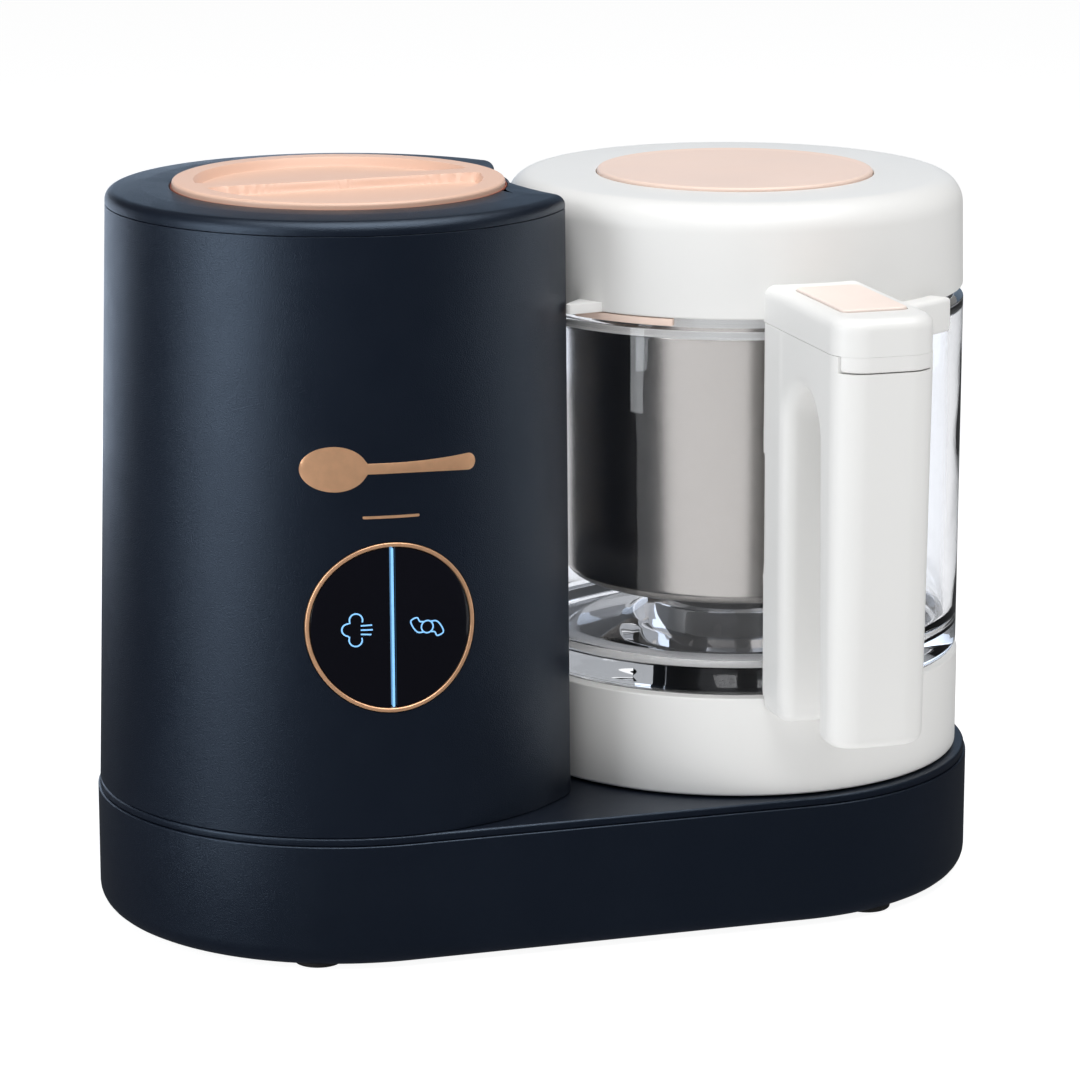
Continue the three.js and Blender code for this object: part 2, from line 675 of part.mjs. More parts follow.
// Slims the grip evenly from the lid down to its lower end.
function taperGrip(geometry) {
  const place = geometry.attributes.position;
  const middle = -(handle.front + handle.gripBack) / 2;
  const height = handle.top - handle.gripBottom;
  for (let i = 0; i < place.count; i += 1) {
    const share = THREE.MathUtils.clamp((handle.top - place.getZ(i)) / height, 0, 1);
    const depth = (place.getY(i) - middle) * (1 - handle.depthTaper * share);
    place.setX(i, place.getX(i) * (1 - handle.widthTaper * share));
    place.setY(i, middle + depth);
  }
  return geometry;
}

// The opening for the fingers: straight sides under a half-round top.
function archCutter() {
  const radius = (handle.gripBack - handle.spineFront) / 2;
  const middle = -(handle.spineFront + handle.gripBack) / 2;
  const arch = new THREE.Shape();
  arch.moveTo(-handle.spineFront, 100);
  arch.lineTo(-handle.spineFront, handle.archTop - radius);
  arch.absarc(middle, handle.archTop - radius, radius, 0, Math.PI, false);
  arch.lineTo(-handle.gripBack, 100);
  arch.closePath();
  const [x, y, z] = [new THREE.Vector3(1, 0, 0), new THREE.Vector3(0, 1, 0), new THREE.Vector3(0, 0, 1)];
  return closed(new THREE.ExtrudeGeometry(arch, { depth: 60, bevelEnabled: false, curveSegments: 6 })
    .applyMatrix4(new THREE.Matrix4().makeBasis(y, z, x))
    .translate(-30, 0, 0));
}

function makeHandle() {
  const { halfWidth: w, front, gripBack, spineFront, spineBack, corner, top } = handle;
  const high = top + 6;
  const inJar = spineBack - 20;
  const rounding = { curveSegments: 3, steps: 2 };
  const gripPlan = roundedRect(-w, -front, w, -gripBack, 9.5);
  const spinePlan = roundedRect(-w, -spineFront, w, -inJar, 6);
  const grip = taperGrip(softPlate(gripPlan, handle.gripBottom, high, 4, rounding));
  const spine = softPlate(spinePlan, handle.spineBottom, high, 3.5, rounding);
  const bridge = plate(roundedRect(-w, -front, w, -inJar, corner), 172, high, 4);
  const above = block([-30, -160, top], [30, -40, 240]);
  const jarRoom = disc(spineBack, 60, 240, 60);
  const tongueRoom = ring(arm.tongueBack - GAP, 160, arm.tongueBottom - GAP, 240, 60);
  return onJar(cut(join(grip, spine, cut(bridge, archCutter())), above, jarRoom, tongueRoom));
}

const footRing = { inner: jar.skirtRadius + jar.wall + 0.5, outer: jar.radius - jar.wall - 0.5 };
add('jar_foot_ring', onJar(ring(footRing.inner, footRing.outer, 45.4, 47.6)), 'rubber');
add('jar_base', makeJarBase(), 'white');
add('glass_bowl', makeGlass(), 'glass');
add('bowl_gasket', onJar(ring(21.8, 25.6, 77.8, 79.2, 18)), 'silicone');
add('blade_hub', makeBladeHub(), 'charcoal');
add('blade_shaft', onJar(disc(3.5, 65.9, 104.4, 12)), 'steel');
add('blade_lower', makeBlade(98.4, 20, 38), 'steel');
add('blade_upper', makeBlade(102, 110, 32), 'steel');
add('blade_coupling', makeBladeCoupling(), 'charcoal');
add('handle', makeHandle(), 'white');
add('steam_basket', makeBasket(), 'steel');
add('basket_collar', makeBasketCollar(), 'white');

// ---------------------------------------------------------------- lid

// A block between two radii and two headings, where a heading is measured from the front towards +X.
function sector(inner, outer, fromDeg, toDeg, low, high, steps = 6) {
  const start = radians(fromDeg - 90);
  const end = radians(toDeg - 90);
  const shape = new THREE.Shape();
  shape.absarc(0, 0, outer, start, end, false);
  shape.absarc(0, 0, inner, end, start, true);
  shape.closePath();
  return plate(shape, low, high, steps);
}

function padShape(margin) {
  const half = pad.halfWidth + margin;
  return roundedRect(-half, -pad.front - margin, half, -pad.back + margin, 2.6 + margin);
}

function makeLidArm() {
  const { halfWidth: w, front, corner } = handle;
  const outline = roundedRect(-w, -front, w, -50, corner);
  const body = softPlate(outline, arm.bottom - 12, arm.top, 3.5, { curveSegments: 3, steps: 2 });
  const below = block([-30, -160, arm.bottom - 20], [30, -40, arm.bottom]);
  const pocket = plate(padShape(0.4), 212, 230, 3);
  const tongue = common(
    plate(outline, arm.tongueBottom, arm.bottom + 1, 3),
    ring(arm.tongueBack, 170, arm.tongueBottom - 1, arm.bottom + 1, 60));
  return join(cut(body, below, pocket, disc(76.2, 150, 260, BIG)), tongue);
}

// The small ear that stands just in front of the tower's corner.
function makeLidEar() {
  const shape = new THREE.Shape();
  shape.moveTo(-60.9, -45.9);
  shape.lineTo(-76.6, -48.6);
  shape.lineTo(-74.4, -45.6);
  shape.lineTo(-66.6, -37.2);
  shape.closePath();
  return plate(shape, 205.5, 208.7);
}

function makeLid() {
  const { radius: r, headRadius: h, bottom, top, edge, wall: t, discRadius: d } = lid;
  const shell = turned([
    [0, top - 4.5], [h - edge - 0.5, top - 4.5], [h - t - 0.4, top - edge - 2], [r - t, bottom], [r, bottom],
    ...arcPoints(h - edge, top - edge - 0.4, edge, 0, 80, 4), [d + 0.4, top], [d + 0.4, top - 2.2],
    [0, top - 2.2],
  ], BIG);
  const ledge = ring(69.5, r - t + 0.4, 219.8, 222);
  const inletHole = disc(4.5, -90, -50, SMALL).rotateY(Math.PI / 2).translate(0, 0, steamOutlet.height);
  const stop = sector(78.4, 85, 13.2, 37.5, 196.6, 208, 4);
  const stopRoot = sector(75.5, 79, 13.2, 37.5, bottom, 208, 4);
  return onJar(join(cut(shell, inletHole), ledge, makeLidArm(), makeLidEar(), stop, stopRoot));
}

add('lid_seal', onJar(ring(68.5, 73.6, 216.9, 219.5)), 'blush');
add('lid_shell', makeLid(), 'white');
add('lid_disc', onJar(turned([
  [0, 240.6], [lid.discRadius, 240.6], [lid.discRadius, 243.2], [lid.discRadius - 0.9, 243.9],
  [lid.discRadius - 3.4, 243.6], [0, 243.2],
], 36)), 'blush');
add('lock_band', onJar(sector(74.8, 77.4, -62, -34.7, 202.8, 205.2)), 'blush');
add('steam_diffuser', onJar(turned([
  [0, 226], [34, 226], [36, 224], [38, 226], [36, 228.4], [8, 228.4], [8, 237.7], [0, 237.7],
], 16)), 'white');
const padRounding = { curveSegments: 3, steps: 1 };
add('release_pad', onJar(softPlate(padShape(0), pad.bottom, pad.top, 0.7, padRounding)), 'blush');

// The footprint's centre becomes the origin.
machine.position.set(
  -(AXIS_DISTANCE + base.jarRadius - base.towerRadius) / 2,
  (handle.front - base.towerRadius) / 2,
  0);
machine.updateMatrixWorld(true);

export default machine;
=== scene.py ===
import json
import math
import bmesh
import bpy
import numpy as np
from mathutils import Matrix, Vector


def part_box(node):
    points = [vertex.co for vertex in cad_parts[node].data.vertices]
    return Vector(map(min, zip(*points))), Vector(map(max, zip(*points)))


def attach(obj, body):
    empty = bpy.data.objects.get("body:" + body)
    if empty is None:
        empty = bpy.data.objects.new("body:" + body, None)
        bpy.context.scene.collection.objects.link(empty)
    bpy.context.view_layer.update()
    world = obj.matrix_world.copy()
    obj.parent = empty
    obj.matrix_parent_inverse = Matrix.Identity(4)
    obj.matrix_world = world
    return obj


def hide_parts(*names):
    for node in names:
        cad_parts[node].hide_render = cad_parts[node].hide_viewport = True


# A baby food maker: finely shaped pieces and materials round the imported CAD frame.
# Shapes are worked out in millimetres about the tower's axis or the jar's axis, and turned into the
# frame's metres when a mesh is made. -Y is the front.

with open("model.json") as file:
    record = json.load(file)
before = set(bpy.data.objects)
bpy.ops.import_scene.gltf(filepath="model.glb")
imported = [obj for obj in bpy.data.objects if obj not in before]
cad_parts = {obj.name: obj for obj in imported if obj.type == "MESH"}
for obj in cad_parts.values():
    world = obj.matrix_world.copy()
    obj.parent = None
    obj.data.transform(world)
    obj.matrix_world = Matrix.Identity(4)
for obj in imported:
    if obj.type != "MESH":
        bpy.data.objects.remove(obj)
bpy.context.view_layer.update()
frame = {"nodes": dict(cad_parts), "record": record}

MM = 0.001
TURN = 2 * math.pi


def middle(node):
    low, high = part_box(node)
    return (low + high) / 2


TOWER = middle("water_tank")
JAR = middle("glass_bowl")
AXIS_DISTANCE = (JAR.x - TOWER.x) / MM
scene = bpy.context.scene

# ---------------------------------------------------------------- dimensions, in millimetres

TOWER_FOOT, TOWER_HEAD = 82.2, 76.6  # radii of the tower at its foot and at its seam
TOWER_BOTTOM, TOWER_SEAM, TOWER_TOP = 45.4, 239.0, 244.4
RECESS_FOOT, RECESS_HEAD, RECESS_NEAREST = 212.0, 105.0, 57.7  # radii of the hollow flank, its place
CAP_OPENING = 55.4
BASE_TOWER, BASE_JAR = 83.0, 82.2  # radii of the base's two round ends
PANEL_TURN = math.radians(-3.4)
PANEL_HEIGHT, RING_RADIUS, RING_WIDTH = 113.95, 27.6, 1.35
EMBLEM_HEIGHT, ACCENT_HEIGHT = 165.5, 149.9


# ---------------------------------------------------------------- outlines and profiles

def rounded(points, steps=6, closed=True):
    """Corner points (a, b) or (a, b, radius); each corner with a radius becomes an arc."""
    out = []
    count = len(points)
    for i, corner in enumerate(points):
        here = Vector(corner[:2])
        radius = corner[2] if len(corner) > 2 else 0
        at_end = not closed and i in (0, count - 1)
        if not radius or at_end:
            out.append(tuple(here))
            continue
        back = (Vector(points[i - 1][:2]) - here).normalized()
        on = (Vector(points[(i + 1) % count][:2]) - here).normalized()
        half = back.angle(on) / 2
        centre = here + (back + on).normalized() * radius / math.sin(half)
        reach = radius / math.tan(half)
        first = (here + back * reach - centre).normalized()
        last = (here + on * reach - centre).normalized()
        out += [tuple(centre + radius * first.slerp(last, k / steps)) for k in range(steps + 1)]
    return out


def arc(centre, radius, start, end, count):
    """Points on an arc, angles in radians."""
    angles = [start + (end - start) * k / (count - 1) for k in range(count)]
    return [(centre[0] + radius * math.cos(a), centre[1] + radius * math.sin(a)) for a in angles]


def turned(x, y, angle):
    c, s = math.cos(angle), math.sin(angle)
    return (c * x - s * y, s * x + c * y)


def circle(radius, count=96):
    return arc((0, 0), radius, 0, TURN * (1 - 1 / count), count)


def stadium(offset, count=80):
    """The base's outline: a belt round the tower's circle and the jar's circle."""
    lean = math.acos((BASE_TOWER - BASE_JAR) / AXIS_DISTANCE)
    left = arc((0, 0), BASE_TOWER + offset, lean, TURN - lean, count)
    right = arc((AXIS_DISTANCE, 0), BASE_JAR + offset, -lean, lean, count)
    return left + right


def up_tower(foot, head, z):
    """A size that changes evenly from the tower's foot to its seam."""
    return foot + (head - foot) * (z - TOWER_BOTTOM) / (TOWER_SEAM - TOWER_BOTTOM)


def tower_radius(z):
    return up_tower(TOWER_FOOT, TOWER_HEAD, z)


def tower_outline(z, corner=1.6, inset=0.0):
    """Plan of the tower: a circle with a hollow flank towards the jar, its two corners rounded."""
    z = min(z, TOWER_SEAM)
    big = tower_radius(z) - inset
    recess = up_tower(RECESS_FOOT, RECESS_HEAD, z)
    hollow, d = recess + inset, RECESS_NEAREST + recess
    a, b = big - corner, hollow + corner
    x = (a * a - b * b + d * d) / (2 * d)
    y = math.sqrt(a * a - x * x)
    outer = math.atan2(y, x)
    inner = math.atan2(y, x - d)
    points = arc((0, 0), big, outer, TURN - outer, 200)
    points += arc((x, -y), corner, -outer, math.pi - inner, 8)[1:]
    points += arc((d, 0), hollow, TURN - inner, inner, 60)[1:]
    points += arc((x, y), corner, inner - math.pi, outer, 8)[1:-1]
    return points


# ---------------------------------------------------------------- meshes

def make_object(name, verts, faces, axis):
    mesh = bpy.data.meshes.new(name)
    mesh.from_pydata([(axis.x + x * MM, axis.y + y * MM, z * MM) for x, y, z in verts], [], faces)
    shape = bmesh.new()
    shape.from_mesh(mesh)
    bmesh.ops.remove_doubles(shape, verts=shape.verts, dist=1e-7)
    bmesh.ops.recalc_face_normals(shape, faces=shape.faces)
    shape.to_mesh(mesh)
    shape.free()
    obj = bpy.data.objects.new(name, mesh)
    scene.collection.objects.link(obj)
    return obj


def lathe(name, profile, axis, sides=128, closed=False):
    """A solid of revolution from (radius, z) points; a closed profile makes a ring."""
    verts, faces, rings = [], [], []
    for radius, z in profile:
        if radius < 1e-6:
            rings.append([len(verts)] * sides)
            verts.append((0, 0, z))
            continue
        rings.append(list(range(len(verts), len(verts) + sides)))
        verts += [(x, y, z) for x, y in circle(radius, sides)]
    pairs = list(zip(rings, rings[1:]))
    if closed:
        pairs.append((rings[-1], rings[0]))
    faces = join_rings(pairs, sides)
    return make_object(name, verts, faces, axis)


def join_rings(pairs, sides):
    faces = []
    for low, high in pairs:
        for i in range(sides):
            j = (i + 1) % sides
            face = list(dict.fromkeys((low[i], low[j], high[j], high[i])))
            if len(face) > 2:
                faces.append(face)
    return faces


def loft(name, rings, axis, closed=False):
    """A skin over rings of 3-D points, all with the same count; open ends are capped."""
    sides = len(rings[0])
    verts = [point for ring in rings for point in ring]
    index = [list(range(i * sides, (i + 1) * sides)) for i in range(len(rings))]
    pairs = list(zip(index, index[1:]))
    if closed:
        pairs.append((index[-1], index[0]))
    faces = join_rings(pairs, sides)
    if not closed:
        faces += [index[0][::-1], index[-1]]
    return make_object(name, verts, faces, axis)


def at_height(outline, z):
    return [(x, y, z) for x, y in outline]


def prism(name, outline, low, high, axis):
    return loft(name, [at_height(outline, low), at_height(outline, high)], axis)


def apply_modifiers(obj):
    shown = obj.evaluated_get(bpy.context.evaluated_depsgraph_get())
    mesh = bpy.data.meshes.new_from_object(shown)
    obj.modifiers.clear()
    obj.data = mesh


def bevel(obj, width, segments=3):
    edge = obj.modifiers.new("edge", "BEVEL")
    edge.width = width * MM
    edge.segments = segments
    edge.limit_method = "ANGLE"
    edge.angle_limit = math.radians(30)
    apply_modifiers(obj)
    return obj


def carve(obj, tool):
    """Cuts the tool out of obj and removes the tool."""
    step = obj.modifiers.new("carve", "BOOLEAN")
    step.operation = "DIFFERENCE"
    step.solver = "EXACT"
    step.object = tool
    apply_modifiers(obj)
    bpy.data.objects.remove(tool)
    return obj


def piece(obj, body, finish, *nodes, crease=32):
    """Gives a finished mesh its smooth shading, its material, its body and the nodes it stands for."""
    material, slot = finish
    obj.data.materials.clear()
    obj.data.materials.append(material)
    obj.data.shade_smooth()
    obj.data.set_sharp_from_angle(angle=math.radians(crease))
    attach(obj, body)
    if nodes:
        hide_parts(*nodes)
    return obj


# ---------------------------------------------------------------- solids from distance fields

def plan_distance(x, y, low, high, radius):
    """Distance to a rectangle with rounded corners."""
    a = np.abs(x - (low[0] + high[0]) / 2) - (high[0] - low[0]) / 2 + radius
    b = np.abs(y - (low[1] + high[1]) / 2) - (high[1] - low[1]) / 2 + radius
    return np.hypot(np.maximum(a, 0), np.maximum(b, 0)) + np.minimum(np.maximum(a, b), 0) - radius


def meet(a, b, radius):
    """Intersection of two distances with a rounded edge."""
    round_part = np.hypot(np.maximum(a + radius, 0), np.maximum(b + radius, 0))
    return np.minimum(np.maximum(a, b), -radius) + round_part


def blend_together(a, b, radius):
    """Union of two distances with a filled corner."""
    return -meet(-a, -b, radius)


def slab(z, low, high):
    return np.maximum(low - z, z - high)


def net_cells(inside, field, axes, step):
    """Mean crossing point of each grid cell that the surface passes through."""
    total = np.zeros(tuple(n - 1 for n in inside.shape) + (3,))
    count = np.zeros(total.shape[:3])
    grids = np.stack(np.meshgrid(*axes, indexing="ij"), -1)
    for a in range(3):
        first = [slice(None)] * 3
        second = [slice(None)] * 3
        first[a], second[a] = slice(0, -1), slice(1, None)
        first, second = tuple(first), tuple(second)
        crossing = inside[first] != inside[second]
        d0, d1 = field[first], field[second]
        share = np.where(crossing, d0 / np.where(crossing, d0 - d1, 1), 0)
        place = grids[first].copy()
        place[..., a] += share * step
        place *= crossing[..., None]
        others = [b for b in range(3) if b != a]
        for low_b in (0, 1):
            for low_c in (0, 1):
                cut = [slice(None)] * 3
                for b, low in zip(others, (low_b, low_c)):
                    size = inside.shape[b] - 1
                    cut[b] = slice(low, low + size)
                total += place[tuple(cut)]
                count += crossing[tuple(cut)]
    return total, count


def net_faces(inside, index):
    """One quad for each grid edge that the surface crosses."""
    quads = []
    for a in range(3):
        b, c = [k for k in range(3) if k != a]
        first = [slice(1, -1)] * 3
        second = [slice(1, -1)] * 3
        first[a], second[a] = slice(0, -1), slice(1, None)
        crossing = inside[tuple(first)] != inside[tuple(second)]
        place = np.argwhere(crossing)
        place[:, b] += 1
        place[:, c] += 1
        corners = []
        for db, dc in ((-1, -1), (0, -1), (0, 0), (-1, 0)):
            cell = place.copy()
            cell[:, b] += db
            cell[:, c] += dc
            corners.append(index[cell[:, 0], cell[:, 1], cell[:, 2]])
        quads.append(np.stack(corners, -1))
    return np.concatenate(quads)


def field_object(name, distance, low, high, step, axis):
    """A smooth mesh of the surface where distance(x, y, z) is zero, with its points drawn onto it."""
    axes = [np.arange(a - 2 * step, b + 2.5 * step, step) for a, b in zip(low, high)]
    field = distance(*np.meshgrid(*axes, indexing="ij"))
    inside = field < 0
    total, count = net_cells(inside, field, axes, step)
    used = count > 0
    index = np.full(used.shape, -1)
    index[used] = np.arange(used.sum())
    points = total[used] / count[used][:, None]
    nudge = 0.02
    for _ in range(3):
        x, y, z = points.T
        here = distance(x, y, z)
        slope = np.stack([
            distance(x + nudge, y, z) - distance(x - nudge, y, z),
            distance(x, y + nudge, z) - distance(x, y - nudge, z),
            distance(x, y, z + nudge) - distance(x, y, z - nudge)], -1) / (2 * nudge)
        size = np.maximum((slope ** 2).sum(-1), 0.25)
        points = points - np.clip(here / size, -step / 2, step / 2)[:, None] * slope
    return make_object(name, points.tolist(), net_faces(inside, index).tolist(), axis)


# ---------------------------------------------------------------- materials

def nodes_of(name):
    material = bpy.data.materials.new(name)
    material.use_nodes = True
    tree = material.node_tree
    return material, tree, tree.nodes["Principled BSDF"]


def object_coordinates(tree):
    return tree.nodes.new("ShaderNodeTexCoord").outputs["Object"]


def noise(tree, vector, scale, detail=2.0, roughness=0.5):
    node = tree.nodes.new("ShaderNodeTexNoise")
    node.inputs["Scale"].default_value = scale
    node.inputs["Detail"].default_value = detail
    node.inputs["Roughness"].default_value = roughness
    tree.links.new(vector, node.inputs["Vector"])
    return node.outputs["Fac"]


def spread(tree, value, low, high):
    """Maps a noise value, which stays near 0.5, to low..high."""
    node = tree.nodes.new("ShaderNodeMapRange")
    node.inputs["From Min"].default_value = 0.3
    node.inputs["From Max"].default_value = 0.7
    node.inputs["To Min"].default_value = low
    node.inputs["To Max"].default_value = high
    tree.links.new(value, node.inputs["Value"])
    return node.outputs["Result"]


def tint(tree, value, dark, light):
    node = tree.nodes.new("ShaderNodeMix")
    node.data_type = "RGBA"
    node.inputs["A"].default_value = (*dark, 1)
    node.inputs["B"].default_value = (*light, 1)
    tree.links.new(value, node.inputs["Factor"])
    return node.outputs["Result"]


def bump(tree, shader, height, distance):
    node = tree.nodes.new("ShaderNodeBump")
    node.inputs["Distance"].default_value = distance
    node.inputs["Strength"].default_value = 1.0
    tree.links.new(height, node.inputs["Height"])
    tree.links.new(node.outputs["Normal"], shader.inputs["Normal"])


def set_sockets(shader, values):
    for socket, value in values.items():
        shader.inputs[socket].default_value = value


def plastic(name, colour, roughness, grain=0.5, variation=0.04, grain_scale=2600.0, **sockets):
    """Moulded plastic: a fine spark-eroded grain, faint flow marks and slightly uneven gloss."""
    material, tree, shader = nodes_of(name)
    place = object_coordinates(tree)
    flow = spread(tree, noise(tree, place, 14.0), 0.0, 1.0)
    dark = [c * (1 - variation) for c in colour]
    light = [min(1.0, c * (1 + variation)) for c in colour]
    tree.links.new(tint(tree, flow, dark, light), shader.inputs["Base Color"])
    gloss = spread(tree, noise(tree, place, 60.0, 3.0), roughness - 0.03, roughness + 0.03)
    tree.links.new(gloss, shader.inputs["Roughness"])
    bump(tree, shader, noise(tree, place, grain_scale, 2.0), 0.00004 * grain)
    set_sockets(shader, sockets)
    return material


def plated(name, colour, roughness, metallic=1.0):
    """Thin plated metal, satin and not perfectly even."""
    material, tree, shader = nodes_of(name)
    place = object_coordinates(tree)
    cloud = spread(tree, noise(tree, place, 220.0, 3.0), 0.0, 1.0)
    dark = [c * 0.9 for c in colour]
    tree.links.new(tint(tree, cloud, dark, colour), shader.inputs["Base Color"])
    gloss = spread(tree, noise(tree, place, 900.0), roughness - 0.05, roughness + 0.05)
    tree.links.new(gloss, shader.inputs["Roughness"])
    set_sockets(shader, {"Metallic": metallic})
    return material


def round_coordinates(tree, axis, along, across):
    """Coordinates that run round an upright axis: slow along the turn, quick up the height."""
    place = object_coordinates(tree)
    shift = tree.nodes.new("ShaderNodeVectorMath")
    shift.operation = "SUBTRACT"
    shift.inputs[1].default_value = (axis.x, axis.y, 0)
    tree.links.new(place, shift.inputs[0])
    apart = tree.nodes.new("ShaderNodeSeparateXYZ")
    tree.links.new(shift.outputs[0], apart.inputs[0])
    angle = tree.nodes.new("ShaderNodeMath")
    angle.operation = "ARCTAN2"
    tree.links.new(apart.outputs["Y"], angle.inputs[0])
    tree.links.new(apart.outputs["X"], angle.inputs[1])
    length = tree.nodes.new("ShaderNodeVectorMath")
    length.operation = "LENGTH"
    tree.links.new(shift.outputs[0], length.inputs[0])
    join = tree.nodes.new("ShaderNodeCombineXYZ")
    for source, factor, socket in (
            (angle.outputs[0], along, "X"),
            (apart.outputs["Z"], across, "Y"),
            (length.outputs["Value"], across, "Z")):
        scale = tree.nodes.new("ShaderNodeMath")
        scale.operation = "MULTIPLY"
        scale.inputs[1].default_value = factor
        tree.links.new(source, scale.inputs[0])
        tree.links.new(scale.outputs[0], join.inputs[socket])
    return join.outputs[0]


def brushed_steel(name, axis, colour=(0.54, 0.505, 0.465), roughness=0.2):
    """Steel brushed round an upright axis."""
    material, tree, shader = nodes_of(name)
    lines = noise(tree, round_coordinates(tree, axis, 5.0, 4200.0), 1.0, 4.0, 0.7)
    dark = [c * 0.96 for c in colour]
    tree.links.new(tint(tree, spread(tree, lines, 0.0, 1.0), dark, colour), shader.inputs["Base Color"])
    tree.links.new(spread(tree, lines, roughness - 0.01, roughness + 0.01), shader.inputs["Roughness"])
    bump(tree, shader, lines, 0.000001)
    tangent = tree.nodes.new("ShaderNodeTangent")
    tangent.direction_type = "RADIAL"
    tangent.axis = "Z"
    tree.links.new(tangent.outputs[0], shader.inputs["Tangent"])
    set_sockets(shader, {"Metallic": 1.0, "Anisotropic": 0.8})
    return material


def clear_glass(name):
    """Pressed glass: slightly wavy, so what shows through it wavers a little; lamps shine through it."""
    material, tree, shader = nodes_of(name)
    place = object_coordinates(tree)
    bump(tree, shader, noise(tree, place, 26.0, 1.0), 0.0004)
    set_sockets(shader, {
        "Base Color": (0.92, 0.93, 0.955, 1), "Transmission Weight": 1.0, "IOR": 1.47, "Roughness": 0.0})
    through = tree.nodes.new("ShaderNodeBsdfTransparent")
    through.inputs["Color"].default_value = (1, 1, 1, 1)
    path = tree.nodes.new("ShaderNodeLightPath")
    surface = shader.outputs[0]
    for ray in ("Is Diffuse Ray", "Is Shadow Ray"):
        either = tree.nodes.new("ShaderNodeMixShader")
        tree.links.new(path.outputs[ray], either.inputs[0])
        tree.links.new(surface, either.inputs[1])
        tree.links.new(through.outputs[0], either.inputs[2])
        surface = either.outputs[0]
    tree.links.new(surface, tree.nodes["Material Output"].inputs["Surface"])
    return material


def glow(name, colour, strength):
    """A lamp's diffuser, lit a little unevenly."""
    material, tree, shader = nodes_of(name)
    place = object_coordinates(tree)
    cloud = spread(tree, noise(tree, place, 400.0), 0.85, 1.0)
    level = tree.nodes.new("ShaderNodeMath")
    level.operation = "MULTIPLY"
    level.inputs[1].default_value = strength
    tree.links.new(cloud, level.inputs[0])
    tree.links.new(level.outputs[0], shader.inputs["Emission Strength"])
    set_sockets(shader, {"Base Color": (*colour, 1), "Emission Color": (*colour, 1), "Roughness": 0.4})
    return material


NAVY = (plastic(
    "navy_plastic", (0.0035, 0.0054, 0.0112), 0.33, grain=3.0, variation=0.08, grain_scale=3200.0,
    **{"Specular Tint": (0.6, 0.77, 1.0, 1), "Specular IOR Level": 0.8}), "navy_plastic")
WHITE = (plastic("white_plastic", (0.83, 0.825, 0.81), 0.4, grain=0.3, variation=0.01), "white_plastic")
BLUSH = (plastic("blush_plastic", (0.9, 0.7, 0.6), 0.42, grain=0.4, variation=0.02), "blush_plastic")
PEACH = (plastic("peach_plastic", (0.83, 0.55, 0.42), 0.42, grain=0.4, variation=0.02), "blush_plastic")
CREAM = (plastic("cream_plastic", (0.92, 0.79, 0.72), 0.42, grain=0.4, variation=0.02), "blush_plastic")
ROSE_GOLD = (plated("rose_gold", (1.0, 0.57, 0.33), 0.36, 0.7), "rose_gold")
STEEL = (brushed_steel("brushed_steel", JAR), "steel")
TANK_STEEL = (brushed_steel("tank_steel", TOWER), "steel")
GLASS = (clear_glass("clear_glass"), "clear_glass")
BLACK = (plastic("black_gloss", (0.0025, 0.0025, 0.005), 0.1, grain=0.0, variation=0.2), "black_gloss")
LIGHT = (glow("ice_light", (0.19, 0.45, 0.8), 0.66), "ice_light")
RUBBER = (plastic("foot_rubber", (0.012, 0.012, 0.013), 0.75, grain=2.0, variation=0.1), "foot_rubber")
SILICONE = (plastic("red_silicone", (0.36, 0.1, 0.06), 0.55, grain=0.6), "red_silicone")
CHARCOAL = (plastic(
    "charcoal_plastic", (0.022, 0.023, 0.026), 0.5, grain=1.2, variation=0.1), "charcoal_plastic")
CIRCUIT = (plastic("circuit_board", (0.015, 0.1, 0.04), 0.35, grain=1.0, variation=0.3), "circuit_board")
BRONZE = (plated("bronze", (0.5, 0.32, 0.13), 0.4), "bronze")


def finish_hidden_nodes():
    """The CAD solids that stay, all of them inside the machine or under it, get a full material."""
    finishes = {finish[1]: finish[0] for finish in (
        NAVY, WHITE, BLUSH, ROSE_GOLD, TANK_STEEL, GLASS, BLACK, LIGHT, RUBBER, SILICONE, CHARCOAL, CIRCUIT,
        BRONZE)}
    slots = {part["node"]: part["material_slot"] for part in frame["record"]["subparts"]}
    for name, node in frame["nodes"].items():
        node.data.materials.clear()
        node.data.materials.append(finishes[slots[name]])


# ---------------------------------------------------------------- base

def cut_inlet_opening(obj):
    """The opening for the mains inlet, in the back of the tray."""
    low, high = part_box("power_inlet")
    half = (high - low) / 2 / MM
    centre = (low + high) / 2 / MM - TOWER / MM
    x, z = centre.x, (low.z + high.z) / 2 / MM
    margin = 0.3
    corners = ((-1, -1), (1, -1), (1, 1), (-1, 1))
    socket = [(x + sx * (half.x + margin), z + sz * (half.z + margin)) for sx, sz in corners]
    carve(obj, loft("socket", [[(a, y, b) for a, b in socket] for y in (70, 90)], TOWER))


def build_base():
    tray = rounded([
        (-40, 1.2), (0, 1.2, 7.4), (0, 42.4, 0.5), (-2.6, 42.4), (-2.6, 3.8, 5), (-40, 3.8)],
        8, closed=False)
    obj = loft("base_tray_body", [at_height(stadium(offset), z) for offset, z in tray], TOWER)
    cut_inlet_opening(obj)
    for k in range(5):
        slot_x = -16 + 8 * k
        outline = [(slot_x - 1.5, -48), (slot_x + 1.5, -48), (slot_x + 1.5, -20), (slot_x - 1.5, -20)]
        carve(obj, prism("vent", outline, 0, 10, TOWER))
    piece(obj, "root", NAVY, "base_tray")


